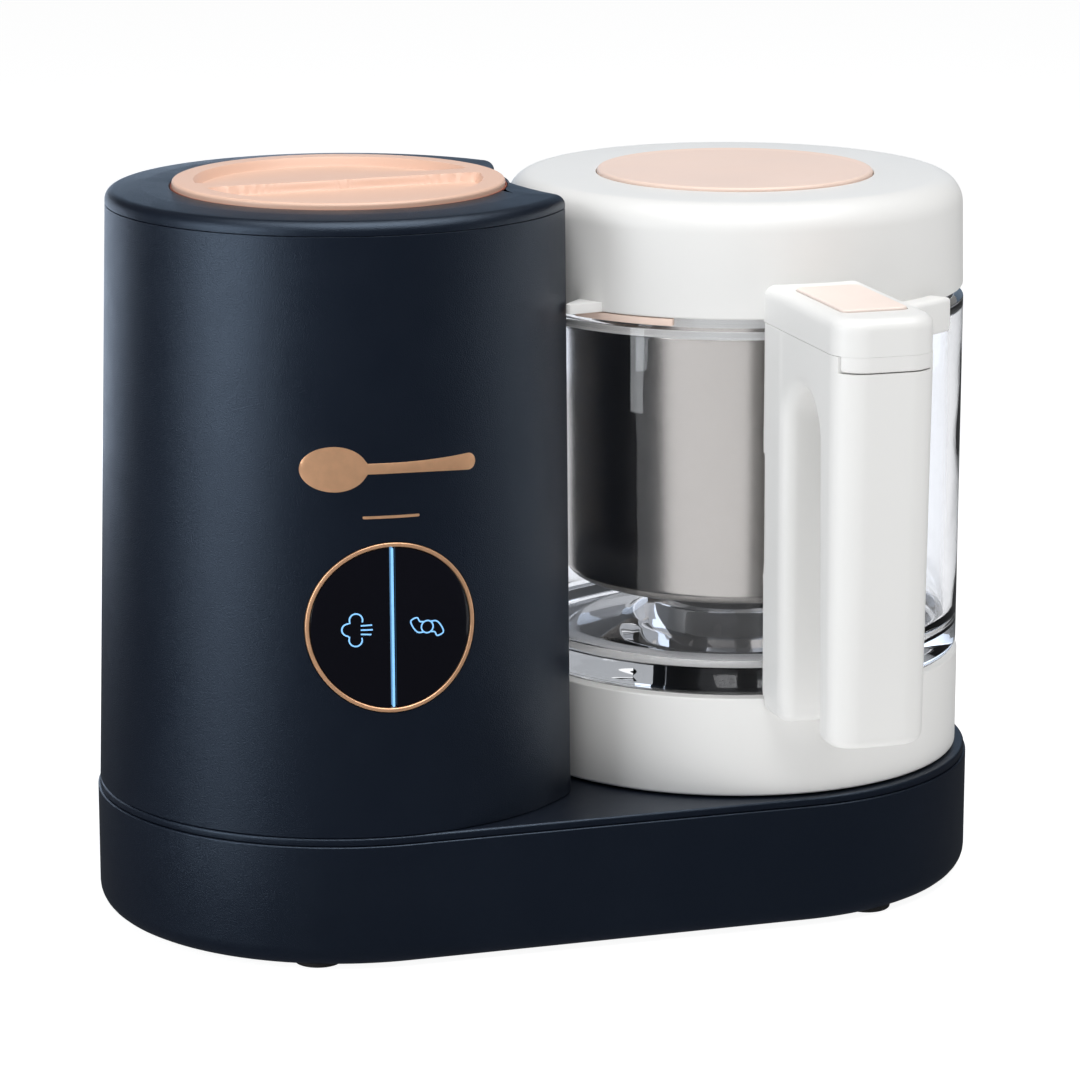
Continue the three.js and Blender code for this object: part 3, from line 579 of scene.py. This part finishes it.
def build_deck():
    deck = rounded([(-40, 42.6), (-0.7, 42.6, 0.2), (-0.7, 45.1, 0.9), (-40, 45.1)], 5, closed=False)
    obj = loft("deck_plate", [at_height(stadium(offset), z) for offset, z in deck], TOWER)
    piece(obj, "root", NAVY, "deck_cover")
    boss = rounded([(44, 44), (47, 44), (47, 51, 0.8), (44, 51, 0.8)])
    piece(lathe("deck_boss", boss, JAR, closed=True), "root", NAVY)
    hub = rounded([(9, 44), (13, 44), (13, 50, 0.6), (9, 50, 0.4)])
    piece(lathe("deck_hub", hub, JAR, 64, closed=True), "root", NAVY)


def build_feet():
    profile = rounded([(0, 0), (8, 0, 0.9), (8, 2.9), (0, 2.9)], closed=False)
    for place in ("front_left", "front_right", "rear_left", "rear_right"):
        node = f"foot_{place}"
        piece(lathe(f"rubber_{node}", profile, middle(node), 64), "root", RUBBER, node)


def build_inlet():
    """The mains socket at the back: a well with two pins."""
    low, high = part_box("power_inlet")
    width, height = (high.x - low.x) / MM, (high.z - low.z) / MM
    centre = Vector(((low.x + high.x) / 2, TOWER.y, 0))
    bottom = low.z / MM
    top = bottom + height
    outer = [(-width / 2, bottom), (width / 2, bottom), (width / 2, top), (-width / 2, top)]
    wall = 2
    narrow, short = 1 - 2 * wall / width, 1 - 2 * wall / height
    well = [(x * narrow, bottom + wall + (z - bottom) * short) for x, z in outer]
    obj = loft("inlet_body", [[(x, y, z) for x, z in outer] for y in (56, 79)], centre)
    carve(obj, loft("well", [[(x, y, z) for x, z in well] for y in (62, 90)], centre))
    piece(bevel(obj, 0.4), "root", CHARCOAL, "power_inlet")
    middle_z = bottom + height / 2
    for side in (-4, 4):
        profile = [(x + side, middle_z + z) for x, z in arc((0, 0), 1.1, 0, TURN * 0.95, 20)]
        rings = [[(x, y, z) for x, z in profile] for y in (61, 73.5)]
        piece(bevel(loft(f"inlet_pin_{side + 4}", rings, centre), 0.3), "root", BRONZE)


# ---------------------------------------------------------------- tower

def on_face(u, v, offset, height=PANEL_HEIGHT):
    """A point on the tower's face: u to the right, v up, offset out of the face."""
    z = height + v
    radius = tower_radius(z) + offset
    y = -math.sqrt(radius * radius - u * u)
    return (*turned(u, y, PANEL_TURN), z)


def panel_tool():
    """A round bar through the front wall where the control panel sits."""
    rings = [
        [(*turned(u, y, PANEL_TURN), PANEL_HEIGHT + v) for u, v in circle(RING_RADIUS + 0.3)]
        for y in (-95, -55)]
    return loft("hole", rings, TOWER)


def build_tower():
    outer = [
        (0.2, TOWER_BOTTOM - 0.15), (0, TOWER_BOTTOM + 0.1), (0, 95), (0, 145), (0, 190), (0, TOWER_SEAM),
        (0.15, TOWER_SEAM + 0.12)]
    inner = [(2.5, TOWER_SEAM + 0.12), (2.5, TOWER_BOTTOM - 0.15)]
    rings = [at_height(tower_outline(z, 1.6, inset), z) for inset, z in outer]
    rings += [at_height(tower_outline(z, 0.8, inset), z) for inset, z in inner]
    obj = loft("tower_body", rings, TOWER, closed=True)
    carve(obj, panel_tool())
    low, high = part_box("steam_nozzle")
    centre_z = (low.z + high.z) / 2 / MM
    outline = [(y, centre_z + z) for y, z in circle(6.4, 40)]
    carve(obj, loft("nozzle_hole", [[(x, y, z) for y, z in outline] for x in (50, 65)], TOWER))
    piece(obj, "root", NAVY, "tower_shell", crease=28)

    nozzle = rounded([(3.6, 51.2), (6, 51.2), (6, 59.2, 0.8), (3.6, 59.2, 0.8)])
    rings = [[(x, y, centre_z + z) for y, z in circle(radius, 48)] for radius, x in nozzle]
    piece(loft("nozzle_outlet", rings, TOWER, closed=True), "root", SILICONE, "steam_nozzle")


def clear_of_opening(x, y, z):
    """The point itself, or where it is too near the axis, one just outside the cap's opening."""
    share = max(1, (CAP_OPENING + 0.5) / math.hypot(x, y))
    return (x * share, y * share, z)


def build_tower_top():
    edge = rounded([
        (0.15, TOWER_SEAM + 0.25), (0, TOWER_SEAM + 0.4), (0, TOWER_TOP - 0.8, 3.6), (12, TOWER_TOP, 4),
        (15, TOWER_TOP)], 8, closed=False)
    rings = [
        [clear_of_opening(x, y, z) for x, y in tower_outline(z, 1.6, inset)] for inset, z in edge]
    opening = rounded([
        (60, TOWER_TOP), (CAP_OPENING, TOWER_TOP, 0.7), (CAP_OPENING, TOWER_SEAM + 0.3)], 4, closed=False)
    outline = tower_outline(TOWER_TOP)
    for radius, z in opening[1:]:
        shares = [radius / math.hypot(x, y) for x, y in outline]
        rings.append([(x * share, y * share, z) for share, (x, y) in zip(shares, outline)])
    piece(loft("tower_rim", rings, TOWER, closed=True), "root", NAVY, "tower_top", crease=28)


def build_tank():
    profile = rounded([
        (0, 150), (50, 150, 5), (50, 222, 3), (47.5, 227, 2), (47.5, 236.4), (54.4, 236.4), (54.4, 237.6),
        (46.3, 237.6, 1), (46.3, 226, 2), (48.8, 221.5, 2), (48.8, 151.2, 4), (0, 151.2)], closed=False)
    piece(lathe("tank_bowl", profile, TOWER, 96), "root", TANK_STEEL, "water_tank")


def build_cap():
    ridge_turn = math.radians(4)
    radius, low, top, depth = 54.7, 242.0, 246.3, 3.0
    inner, ridge, edge, corner = 47.6, 4.4, 1.7, 3

    def height(x, y):
        """The top's height: two scoops with rounded corners, one each side of a straight ridge."""
        across = abs(-x * math.sin(ridge_turn) + y * math.cos(ridge_turn))
        a, b = math.hypot(x, y) - inner + corner, ridge - across + corner
        gap = math.hypot(max(a, 0), max(b, 0)) + min(max(a, b), 0) - corner
        share = min(max(-gap / edge, 0), 1)
        return top - depth * share * share * (3 - 2 * share)

    steps = [radius * k / 100 for k in range(1, 98)]
    rings = [[(x, y, height(x, y)) for x, y in circle(r, 360)] for r in steps]
    side = rounded([(steps[-1], top), (radius, top, 1.1), (radius, low, 0.7), (48, low)], closed=False)[1:]
    rings += [at_height(circle(r, 360), z) for r, z in side]
    piece(loft("cap_top", rings, TOWER), "cap", PEACH, "tank_cap")

    plug = rounded([
        (0, 238.4), (42, 238.4), (42, 226, 0.8), (45.4, 226, 0.8), (45.4, 234.6), (44.2, 234.6),
        (44.2, 241.7), (0, 241.7)], closed=False)
    piece(lathe("plug_body", plug, TOWER, 96), "cap", WHITE, "cap_plug")
    seal = rounded([
        (46.6, 238, 1), (53, 238, 1), (55.2, 240.4, 0.6), (55.2, 244.2, 0.1), (54.85, 244.2, 0.1),
        (54.85, 241.6), (46.6, 241.6, 1)])
    piece(lathe("seal_ring", seal, TOWER, 128, closed=True), "cap_ring", SILICONE, "cap_seal")


def divided(outline, step=1.0):
    """The same closed outline with extra points on its long edges."""
    out = []
    for (u0, v0), (u1, v1) in zip(outline, outline[1:] + outline[:1]):
        count = max(1, round(math.hypot(u1 - u0, v1 - v0) / step))
        out += [(u0 + (u1 - u0) * k / count, v0 + (v1 - v0) * k / count) for k in range(count)]
    return out


def face_patch(name, outline, top, bottom, body, finish, *nodes, height=PANEL_HEIGHT, edge=0.25):
    """A flush insert that follows the tower's face inside an outline of (u, v) points."""
    cu = sum(u for u, v in outline) / len(outline)
    cv = sum(v for u, v in outline) / len(outline)
    reach = max(math.hypot(u - cu, v - cv) for u, v in outline)
    levels = [(0.02, top), (0.25, top), (0.5, top), (0.75, top), (1 - 2 * edge / reach, top),
              (1 - 0.6 * edge / reach, top - 0.3 * edge), (1, top - edge), (1, bottom)]
    rings = [
        [on_face(cu + k * (u - cu), cv + k * (v - cv), offset, height) for u, v in outline]
        for k, offset in levels]
    piece(loft(name, rings, TOWER), body, finish, *nodes)


def build_ring():
    inner, outer = RING_RADIUS - RING_WIDTH, RING_RADIUS
    section = rounded([(inner, -2.2), (outer, -2.2), (outer, 0.35, 0.35), (inner, 0.35, 0.5)], 5)
    rings = [[on_face(u, v, offset) for u, v in circle(radius, 128)] for radius, offset in section]
    piece(loft("ring_trim", rings, TOWER, closed=True), "root", ROSE_GOLD, "bezel_ring")


def half_disc(side):
    """The glass over one key: half of the round panel, cut short of the light bar."""
    radius = RING_RADIUS - RING_WIDTH - 0.25
    cut = 0.95
    half_turn = math.acos(cut / radius)
    curve = arc((0, 0), radius, -half_turn, half_turn, 80)
    half_chord = curve[-1][1]
    chord = [(cut, half_chord * (1 - k / 20)) for k in range(1, 40)]
    return [(side * u, v) for u, v in curve + chord]


def stroke(name, points, width, body, closed=False):
    """A raised lit line that runs through (u, v) points on the tower's face."""
    raised = 0.12
    count = len(points)
    left, right = [], []
    for i, (u, v) in enumerate(points):
        before = points[i - 1] if closed or i else points[i]
        after = points[(i + 1) % count] if closed or i < count - 1 else points[i]
        along = Vector((after[0] - before[0], after[1] - before[1])).normalized() * width / 2
        left.append((u - along.y, v + along.x))
        right.append((u + along.y, v - along.x))
    rows = [[on_face(u, v, level) for u, v in side] for side, level in (
        (left, 0), (left, raised), (right, raised), (right, 0))]
    rings = [list(section) for section in zip(*rows)]
    piece(loft(name, rings, TOWER, closed=closed), body, LIGHT)


def smooth_path(corners, steps=8):
    """An open Catmull-Rom curve through the corners."""
    last = len(corners) - 1
    out = []
    for i in range(last):
        a, b, c, d = [Vector(corners[min(max(i + k, 0), last)]) for k in (-1, 0, 1, 2)]
        for k in range(steps):
            t = k / steps
            square = (2 * a - 5 * b + 4 * c - d) * t * t
            cube = (3 * b - a - 3 * c + d) * t ** 3
            out.append(tuple(0.5 * (2 * b + (c - a) * t + square + cube)))
    out.append(tuple(corners[-1]))
    return out


def build_icons():
    """A small cloud with three puffs of steam, and a two-bladed rotor."""
    width, size = 0.46, 0.92
    u, v = -11.8, -0.3
    lobes = [((0.0, 3.5), 2.25, -20, 205), ((-2.7, 0.1), 2.15, 100, 262), ((-0.2, -3.5), 2.25, 155, 380)]
    path = []
    for (cu, cv), radius, start, end in lobes:
        centre = (u + size * cu, v + size * cv)
        path += arc(centre, size * radius, math.radians(start), math.radians(end), 24)
    stroke("icon_cloud", path, width, "steam_key")
    for k, (rise, length) in enumerate(((1.5, 3.9), (0.0, 4.1), (-1.5, 3.6))):
        line = [(u + size * (1.6 + length * t / 4), v + size * rise * (1 + 0.12 * t / 4)) for t in range(5)]
        stroke(f"icon_puff_{k}", line, width, "steam_key")
    u, v = 11.3, -0.5
    hub = [(u + a, v + b) for a, b in circle(2.15 * size, 40)]
    stroke("icon_rotor_hub", hub, width, "blend_key", closed=True)
    blade = smooth_path([
        (-1.3, -1.75), (-3.4, -1.7), (-5.1, 0.1), (-5.9, 2.5), (-3.7, 3.5), (-2.7, 2.1), (-1.2, 1.85)])
    for k, reach in enumerate((size, -size)):
        line = [(u + reach * a, v + reach * b) for a, b in blade]
        stroke(f"icon_rotor_blade_{k}", line, width, "blend_key")


def spoon():
    """A baby spoon seen from above: (place along it, half width) from the bowl to the handle's end."""
    out = []
    for k in range(121):
        u = -28.5 * math.cos(math.pi * k / 120)
        bowl = 7.25 * math.sqrt(max(1 - ((u + 18) / 10.5) ** 2, 0))
        end = math.sqrt(max(1 - (max(u - 25.8, 0) / 2.7) ** 2, 0))
        stem = end * (1.7 + 1.0 * (max(u, 0) / 25.8) ** 2) if u > -18 else 0
        out.append((u, max((bowl ** 3 + stem ** 3) ** (1 / 3), 0.02)))
    return out


def strip_outline(half_u, half_v, corner):
    """A rounded rectangle about the origin, with points along its edges."""
    return divided(rounded([
        (-half_u, -half_v, corner), (half_u, -half_v, corner), (half_u, half_v, corner),
        (-half_u, half_v, corner)], 4))


def build_panel():
    build_ring()
    face_patch("steam_glass", half_disc(-1), 0.05, -2.4, "steam_key", BLACK, "steam_button")
    face_patch("blend_glass", half_disc(1), 0.05, -2.4, "blend_key", BLACK, "blend_button")
    bar = strip_outline(0.37, 25.9, 0.3)
    face_patch("light_strip", bar, 0.1, -2.4, "root", LIGHT, "light_bar", edge=0.1)
    build_icons()
    line = strip_outline(9.2, 0.45, 0.4)
    face_patch(
        "accent_inlay", line, 0.12, -0.6, "root", ROSE_GOLD, "accent_line", height=ACCENT_HEIGHT, edge=0.12)


def build_emblem():
    """A spoon-shaped inlay in strips across its width, so that it follows the curved face."""
    levels = [(1, -0.6), (1, 0.1), (0.94, 0.16), (0, 0.16), (-0.94, 0.16), (-1, 0.1), (-1, -0.6)]
    rings = [
        [on_face(u, share * half, offset, EMBLEM_HEIGHT) for share, offset in levels]
        for u, half in spoon()]
    piece(loft("spoon_inlay", rings, TOWER), "root", ROSE_GOLD, "emblem")


# ---------------------------------------------------------------- drive

def dogs(name, low, high, turn, body):
    """Three upright drive dogs round the jar's axis."""
    for k in range(3):
        angle = math.radians(120 * k + turn)
        outline = rounded([(7, -1.7, 0.4), (11.5, -1.7, 0.9), (11.5, 1.7, 0.9), (7, 1.7, 0.4)], 3)
        outline = [turned(x, y, angle) for x, y in outline]
        piece(bevel(prism(f"{name}_{k}", outline, low, high, JAR), 0.3), body, CHARCOAL)


def build_drive():
    hub = rounded([(4.3, 52.4), (13, 52.4, 0.6), (13, 56, 0.8), (6.2, 56), (6.2, 57.6, 0.5), (4.3, 57.6)])
    piece(lathe("drive_dog_hub", hub, JAR, 64, closed=True), "drive", CHARCOAL, "drive_coupling")
    dogs("drive_dog", 55.5, 61, 0, "drive")
    shaft = rounded([(0, 12), (4, 12), (4, 57.4, 0.5), (0, 57.4)], closed=False)
    piece(lathe("drive_spindle", shaft, JAR, 48), "drive", STEEL, "drive_shaft")
    bush = rounded([(4.3, 30.5), (8.7, 30.5), (8.7, 49.5, 0.4), (4.3, 49.5, 0.4)])
    piece(lathe("drive_bush", bush, JAR, 48, closed=True), "root", BRONZE, "drive_bearing")


# ---------------------------------------------------------------- jar

def build_jar():
    base = rounded([
        (50, 45.8, 0.5), (53, 45.8, 0.5), (53, 74.2), (75.3, 74.2), (75.3, 45.8, 0.5), (78.3, 45.8, 0.9),
        (78.3, 79.2, 0.7), (26, 79.2, 0.4), (26, 76.2), (50, 76.2)])
    piece(lathe("jar_base_body", base, JAR, 192, closed=True), "jar", WHITE, "jar_base")
    foot = rounded([(53.5, 45.4, 0.4), (74.8, 45.4, 0.4), (74.8, 47.6), (53.5, 47.6)])
    piece(lathe("jar_foot_band", foot, JAR, 128, closed=True), "jar_foot", RUBBER, "jar_foot_ring")
    wall = rounded([
        (22, 79.5), (77.8, 79.5, 3.5), (77.8, 201.6, 0.7), (74.2, 202.4, 0.7), (74.2, 214.5, 1.4),
        (70.4, 214.5, 1.4), (70.4, 202.2, 1.5), (73.6, 198.4, 3), (73.6, 88, 9), (54, 85.5, 12),
        (36, 89, 8), (27, 95.5, 3), (22, 95.5)], 10)
    piece(lathe("glass_wall", wall, JAR, 256, closed=True), "jar", GLASS, "glass_bowl")
    gasket = rounded([(21.8, 77.8, 0.5), (25.6, 77.8, 0.5), (25.6, 79.2, 0.5), (21.8, 79.2, 0.5)])
    piece(lathe("gasket_ring", gasket, JAR, 96, closed=True), "jar", SILICONE, "bowl_gasket")


def build_blades():
    hub = rounded([
        (4, 66), (21.4, 66, 1), (21.4, 74), (25.6, 74, 0.6), (25.6, 77.5, 0.6), (21.4, 77.5),
        (21.4, 97.5, 6), (4, 97.5)])
    piece(lathe("hub_body", hub, JAR, 96, closed=True), "jar", CHARCOAL, "blade_hub")
    shaft = rounded([(0, 65.9), (3.5, 65.9), (3.5, 104.4, 0.8), (0, 104.4)], closed=False)
    piece(lathe("blade_spindle", shaft, JAR, 48), "blade", STEEL, "blade_shaft")
    coupling = rounded([(0, 61.9), (13, 61.9, 0.6), (13, 65.6, 0.6), (0, 65.6)], closed=False)
    piece(lathe("blade_dog_hub", coupling, JAR, 64), "blade", CHARCOAL, "blade_coupling")
    dogs("blade_dog", 56.4, 62.4, 60, "blade")
    for name, low, turn, reach in (("lower", 98.4, 20, 38), ("upper", 102, 110, 32)):
        build_blade(name, low, math.radians(turn), reach)


def build_blade(name, low, turn, reach):
    """A flat S-shaped blade with its edges ground from above."""
    wide = 11
    half = smooth_path([
        (-reach, -wide * 0.2), (-reach * 0.55, -wide * 0.52), (0, -wide * 0.6), (reach * 0.5, -wide * 0.3),
        (reach, wide * 0.2)])
    outline = half[:-1] + [(-x, -y) for x, y in half[:-1]]
    outer = [turned(x, y, turn) for x, y in outline]
    inner = [(x * 0.97, y * 0.8) for x, y in outer]
    rings = [at_height(outer, low), at_height(outer, low + 0.5), at_height(inner, low + 1.5)]
    obj = loft(f"{name}_blade_wing", rings, JAR)
    carve(obj, prism("bore", circle(3.8, 48), low - 1, low + 3, JAR))
    piece(obj, "blade", STEEL, f"blade_{name}")


def build_basket():
    profile = rounded([
        (0, 105.4), (56.8, 105.4, 4.5), (58.3, 201.4, 1.2), (66.8, 201.4, 0.4), (66.8, 202.4, 0.4),
        (57.3, 202.4, 1.6), (55.8, 106.4, 3.6), (0, 106.4)], 10, closed=False)
    obj = lathe("basket_bowl", profile, JAR, 256)
    for count, radius in ((4, 14), (6, 32)):
        for k in range(count):
            x, y = turned(radius, 0, TURN * k / count)
            hole = [(x + a, y + b) for a, b in circle(2, 24)]
            carve(obj, prism("hole", hole, 103, 109, JAR))
    piece(obj, "basket", STEEL, "steam_basket")
    ring = rounded([
        (60, 198.2, 0.6), (69.9, 198.2, 1), (69.9, 214.8), (73.4, 214.8, 0.6), (73.4, 216.6, 0.6),
        (67.5, 216.6, 0.8), (67.5, 201), (60, 201, 0.6)])
    piece(lathe("collar_ring", ring, JAR, 192, closed=True), "basket", WHITE, "basket_collar")


# Handle: half width, faces front to back, heights, and how much the grip slims towards its lower end.
HALF, FRONT, GRIP_BACK, SPINE_FRONT, SPINE_BACK = 17.0, -143.4, -122.5, -95.0, 78.6
HANDLE_TOP, ARCH_TOP, SPINE_BOTTOM, GRIP_BOTTOM = 204.95, 189.0, 75.2, 78.4
WIDTH_TAPER, DEPTH_TAPER = 0.05, 0.22


def handle_distance(x, y, z):
    """Tapering grip, bridge and spine, with a round-topped finger opening between them."""
    high = HANDLE_TOP + 25
    share = np.clip((HANDLE_TOP - z) / (HANDLE_TOP - GRIP_BOTTOM), 0, 1)
    wide = x / (1 - WIDTH_TAPER * share)
    mid = (FRONT + GRIP_BACK) / 2
    deep = mid + (y - mid) / (1 - DEPTH_TAPER * share)
    grip_back = mid + (GRIP_BACK - mid) * (1 - DEPTH_TAPER * share)
    radius = (SPINE_FRONT - grip_back) / 2
    crown = np.maximum(z - (ARCH_TOP - radius), 0)
    opening = np.hypot(y - (SPINE_FRONT + grip_back) / 2, crown) - radius
    grip = meet(plan_distance(wide, deep, (-HALF, FRONT), (HALF, -30), 9.8), -opening, 5)
    grip = meet(grip, slab(z, GRIP_BOTTOM, high), 4)
    spine = meet(
        plan_distance(wide, y, (-HALF, SPINE_FRONT), (HALF, -50), 5), slab(z, SPINE_BOTTOM, high), 3.5)
    return np.maximum(blend_together(grip, spine, 1), SPINE_BACK - np.hypot(x, y))


AROUND_ARM = [(-30, -160), (30, -160), (30, -40), (-30, -40)]


def build_handle():
    obj = field_object("handle_body", handle_distance, (-17, -144, 75), (17, -76, 208), 0.8, JAR)
    carve(obj, prism("above", AROUND_ARM, HANDLE_TOP, 240, JAR))
    ring = arc((0, 0), 139.1, -1.8, -1.3, 60) + arc((0, 0), 165, -1.3, -1.8, 30)
    carve(obj, prism("tongue_room", ring, 199.7, 230, JAR))
    piece(obj, "jar", WHITE, "handle", crease=40)


# ---------------------------------------------------------------- lid

def arm_plan(x, y):
    return plan_distance(x, y, (-HALF, FRONT), (HALF, -50), 10.5)


def arm_distance(x, y, z):
    """The arm from the lid's wall to the front, its upper edge rounded."""
    return np.maximum(meet(arm_plan(x, y), slab(z, 190, 217), 4), 76.4 - np.hypot(x, y))


def tongue_distance(x, y, z):
    """The lip at the arm's front end that hangs over the handle."""
    shell = np.maximum(arm_plan(x, y), 139.4 - np.hypot(x, y))
    return meet(shell, slab(z, 200, 207), 0.8)


def sector(inner, outer, start, end, low, high, count=24):
    """A block between two radii and two headings, measured in degrees from the front towards +X."""
    a, b = math.radians(start - 90), math.radians(end - 90)
    outline = arc((0, 0), outer, a, b, count) + arc((0, 0), inner, b, a, count)
    return prism("sector", outline, low, high, JAR)


def build_lid():
    profile = rounded([
        (0, 238), (66.2, 238, 4), (73.9, 230.5, 4), (75.2, 205.5, 0.5), (77.6, 205.5, 0.7),
        (76.7, 242.5, 9.5), (46.9, 242.5, 0.4), (46.9, 240.3), (0, 240.3)], 12, closed=False)
    piece(lathe("lid_body", profile, JAR, 256), "lid", WHITE, "lid_shell", crease=30)


def build_lid_arm():
    arm = field_object("lid_arm", arm_distance, (-17, -144, 200), (17, -70, 217), 0.7, JAR)
    carve(arm, prism("below", AROUND_ARM, 190, 205.07, JAR))
    pocket = rounded([(-11.35, -130.35, 3), (11.35, -130.35, 3), (11.35, -86.45, 3), (-11.35, -86.45, 3)])
    carve(arm, prism("pocket", pocket, 212, 230, JAR))
    piece(arm, "lid", WHITE, crease=40)
    tongue = field_object("lid_tongue", tongue_distance, (-17, -144, 200), (17, -138, 207), 0.5, JAR)
    carve(tongue, prism("above", AROUND_ARM, 205.02, 230, JAR))
    piece(tongue, "lid", WHITE, crease=40)


def build_lid_fittings():
    """The ear, stop, top disc, lock band, seal and diffuser."""
    ear = rounded([(-60.9, -45.9), (-76.6, -48.6, 1.5), (-74.4, -45.6, 1.5), (-66.6, -37.2)], 4)
    piece(bevel(prism("lid_ear", ear, 205.6, 208.7, JAR), 0.7), "lid", WHITE)
    stop = bevel(sector(76, 85, 13.2, 37.5, 196.6, 208), 1.6, 5)
    carve(stop, prism("glass_room", circle(78.4, 256), 190, 205.5, JAR))
    stop.name = "lid_stop"
    piece(stop, "lid", WHITE)

    disc = rounded([
        (0, 240.6), (46.5, 240.6), (46.5, 243.9, 1.1), (43.4, 243.4, 1.5), (0, 243.2)], closed=False)
    piece(lathe("lid_inlay", disc, JAR, 192), "lid", BLUSH, "lid_disc")
    band = sector(74.8, 77.4, -62, -34.7, 202.8, 205.2)
    band.name = "lock_strip"
    piece(bevel(band, 0.3), "lid", BLUSH, "lock_band")
    seal = rounded([(68.5, 216.9, 0.8), (73.6, 216.9, 0.8), (73.6, 219.5, 0.8), (68.5, 219.5, 0.8)])
    piece(lathe("lid_seal_ring", seal, JAR, 128, closed=True), "lid_ring", BLUSH, "lid_seal")
    diffuser = rounded([
        (0, 226), (34, 226), (36, 224, 0.6), (38, 226, 0.6), (36, 228.4, 0.8), (8, 228.4, 1.5),
        (8, 237.7), (0, 237.7)], closed=False)
    piece(lathe("diffuser_plate", diffuser, JAR, 96), "lid", WHITE, "steam_diffuser")


def build_pad():
    outline = rounded([(-11, -130, 2.6), (11, -130, 2.6), (11, -86.8, 2.6), (-11, -86.8, 2.6)])
    piece(bevel(prism("pad_cap", outline, 214.4, 217.9, JAR), 0.7), "release", CREAM, "release_pad")


# ---------------------------------------------------------------- studio

def panel_light(name, heading, distance, height, size, power, colour=(1, 1, 1)):
    """A soft box that faces the object; heading is in degrees from the front, towards +X."""
    aim = Vector((0, 0.03, 0.13))
    lamp = bpy.data.lights.new(name, "AREA")
    lamp.shape = "RECTANGLE"
    lamp.size, lamp.size_y = size
    lamp.energy = power
    lamp.color = colour
    obj = bpy.data.objects.new(name, lamp)
    angle = math.radians(heading)
    obj.location = (distance * math.sin(angle), -distance * math.cos(angle), height)
    obj.rotation_euler = (aim - obj.location).to_track_quat("-Z", "Y").to_euler()
    obj.visible_camera = False
    scene.collection.objects.link(obj)
    return obj


def build_world():
    world = bpy.data.worlds.new("studio")
    world.use_nodes = True
    tree = world.node_tree
    tree.nodes["Background"].inputs["Color"].default_value = (0.93, 0.96, 1, 1)
    level = tree.nodes.new("ShaderNodeMapRange")  # brighter where it shows through the glass
    level.inputs["To Min"].default_value = 0.07
    level.inputs["To Max"].default_value = 0.5
    path = tree.nodes.new("ShaderNodeLightPath")
    tree.links.new(path.outputs["Is Transmission Ray"], level.inputs["Value"])
    tree.links.new(level.outputs["Result"], tree.nodes["Background"].inputs["Strength"])
    scene.world = world


def build_lights():
    panel_light("key_left", -73, 0.8, 0.31, (0.32, 0.6), 2.8, (0.93, 0.965, 1.0))
    panel_light("overhead", 12, 0.45, 1.7, (1.8, 1.7), 35)
    panel_light("rim_left", -165, 0.75, 0.15, (0.75, 0.3), 0.95, (0.7, 0.82, 1.0))
    panel_light("fill_right", 66, 0.9, 0.35, (0.35, 0.6), 0.12)
    back = panel_light("back", 162, 1.1, 0.42, (1.0, 0.5), 0.65, (0.5, 0.72, 1.0))
    back.visible_transmission = False


def build_floor():
    """Plain pale paper that gives off a little light of its own."""
    verts = [(-15, -15, 0), (15, -15, 0), (15, 15, 0), (-15, 15, 0)]
    mesh = bpy.data.meshes.new("floor")
    mesh.from_pydata(verts, [], [(0, 1, 2, 3)])
    floor = bpy.data.objects.new("floor", mesh)
    scene.collection.objects.link(floor)
    material, tree, shader = nodes_of("floor_paper")
    place = object_coordinates(tree)
    tree.links.new(spread(tree, noise(tree, place, 40.0), 0.88, 0.92), shader.inputs["Roughness"])
    set_sockets(shader, {
        "Base Color": (0.3, 0.3, 0.3, 1), "Emission Color": (1, 1, 1, 1), "Emission Strength": 0.93})
    floor.data.materials.append(material)
    floor.visible_glossy = False


def build_camera():
    """A long lens, a little left of the front and above."""
    camera = bpy.data.objects.new("camera", bpy.data.cameras.new("camera"))
    camera.data.sensor_width = 36
    camera.data.lens = 145.18
    camera.data.clip_end = 100
    azimuth, elevation, distance = math.radians(-17.5), math.radians(13.36), 1.47844
    target = Vector((0.00072, 0.0302, 0.1192))
    level = math.cos(elevation)
    back = Vector((math.sin(azimuth) * level, -math.cos(azimuth) * level, math.sin(elevation)))
    camera.location = target + back * distance
    turn = back.to_track_quat("Z", "Y") @ Matrix.Rotation(math.radians(0.05), 4, "Z").to_quaternion()
    camera.rotation_euler = turn.to_euler()
    scene.collection.objects.link(camera)
    scene.camera = camera


finish_hidden_nodes()
build_base()
build_deck()
build_feet()
build_inlet()
build_tower()
build_tower_top()
build_tank()
build_cap()
build_panel()
build_emblem()
build_drive()
build_jar()
build_blades()
build_basket()
build_handle()
build_lid()
build_lid_arm()
build_lid_fittings()
build_pad()
build_world()
build_lights()
build_floor()
build_camera()
scene.view_settings.view_transform = "Standard"
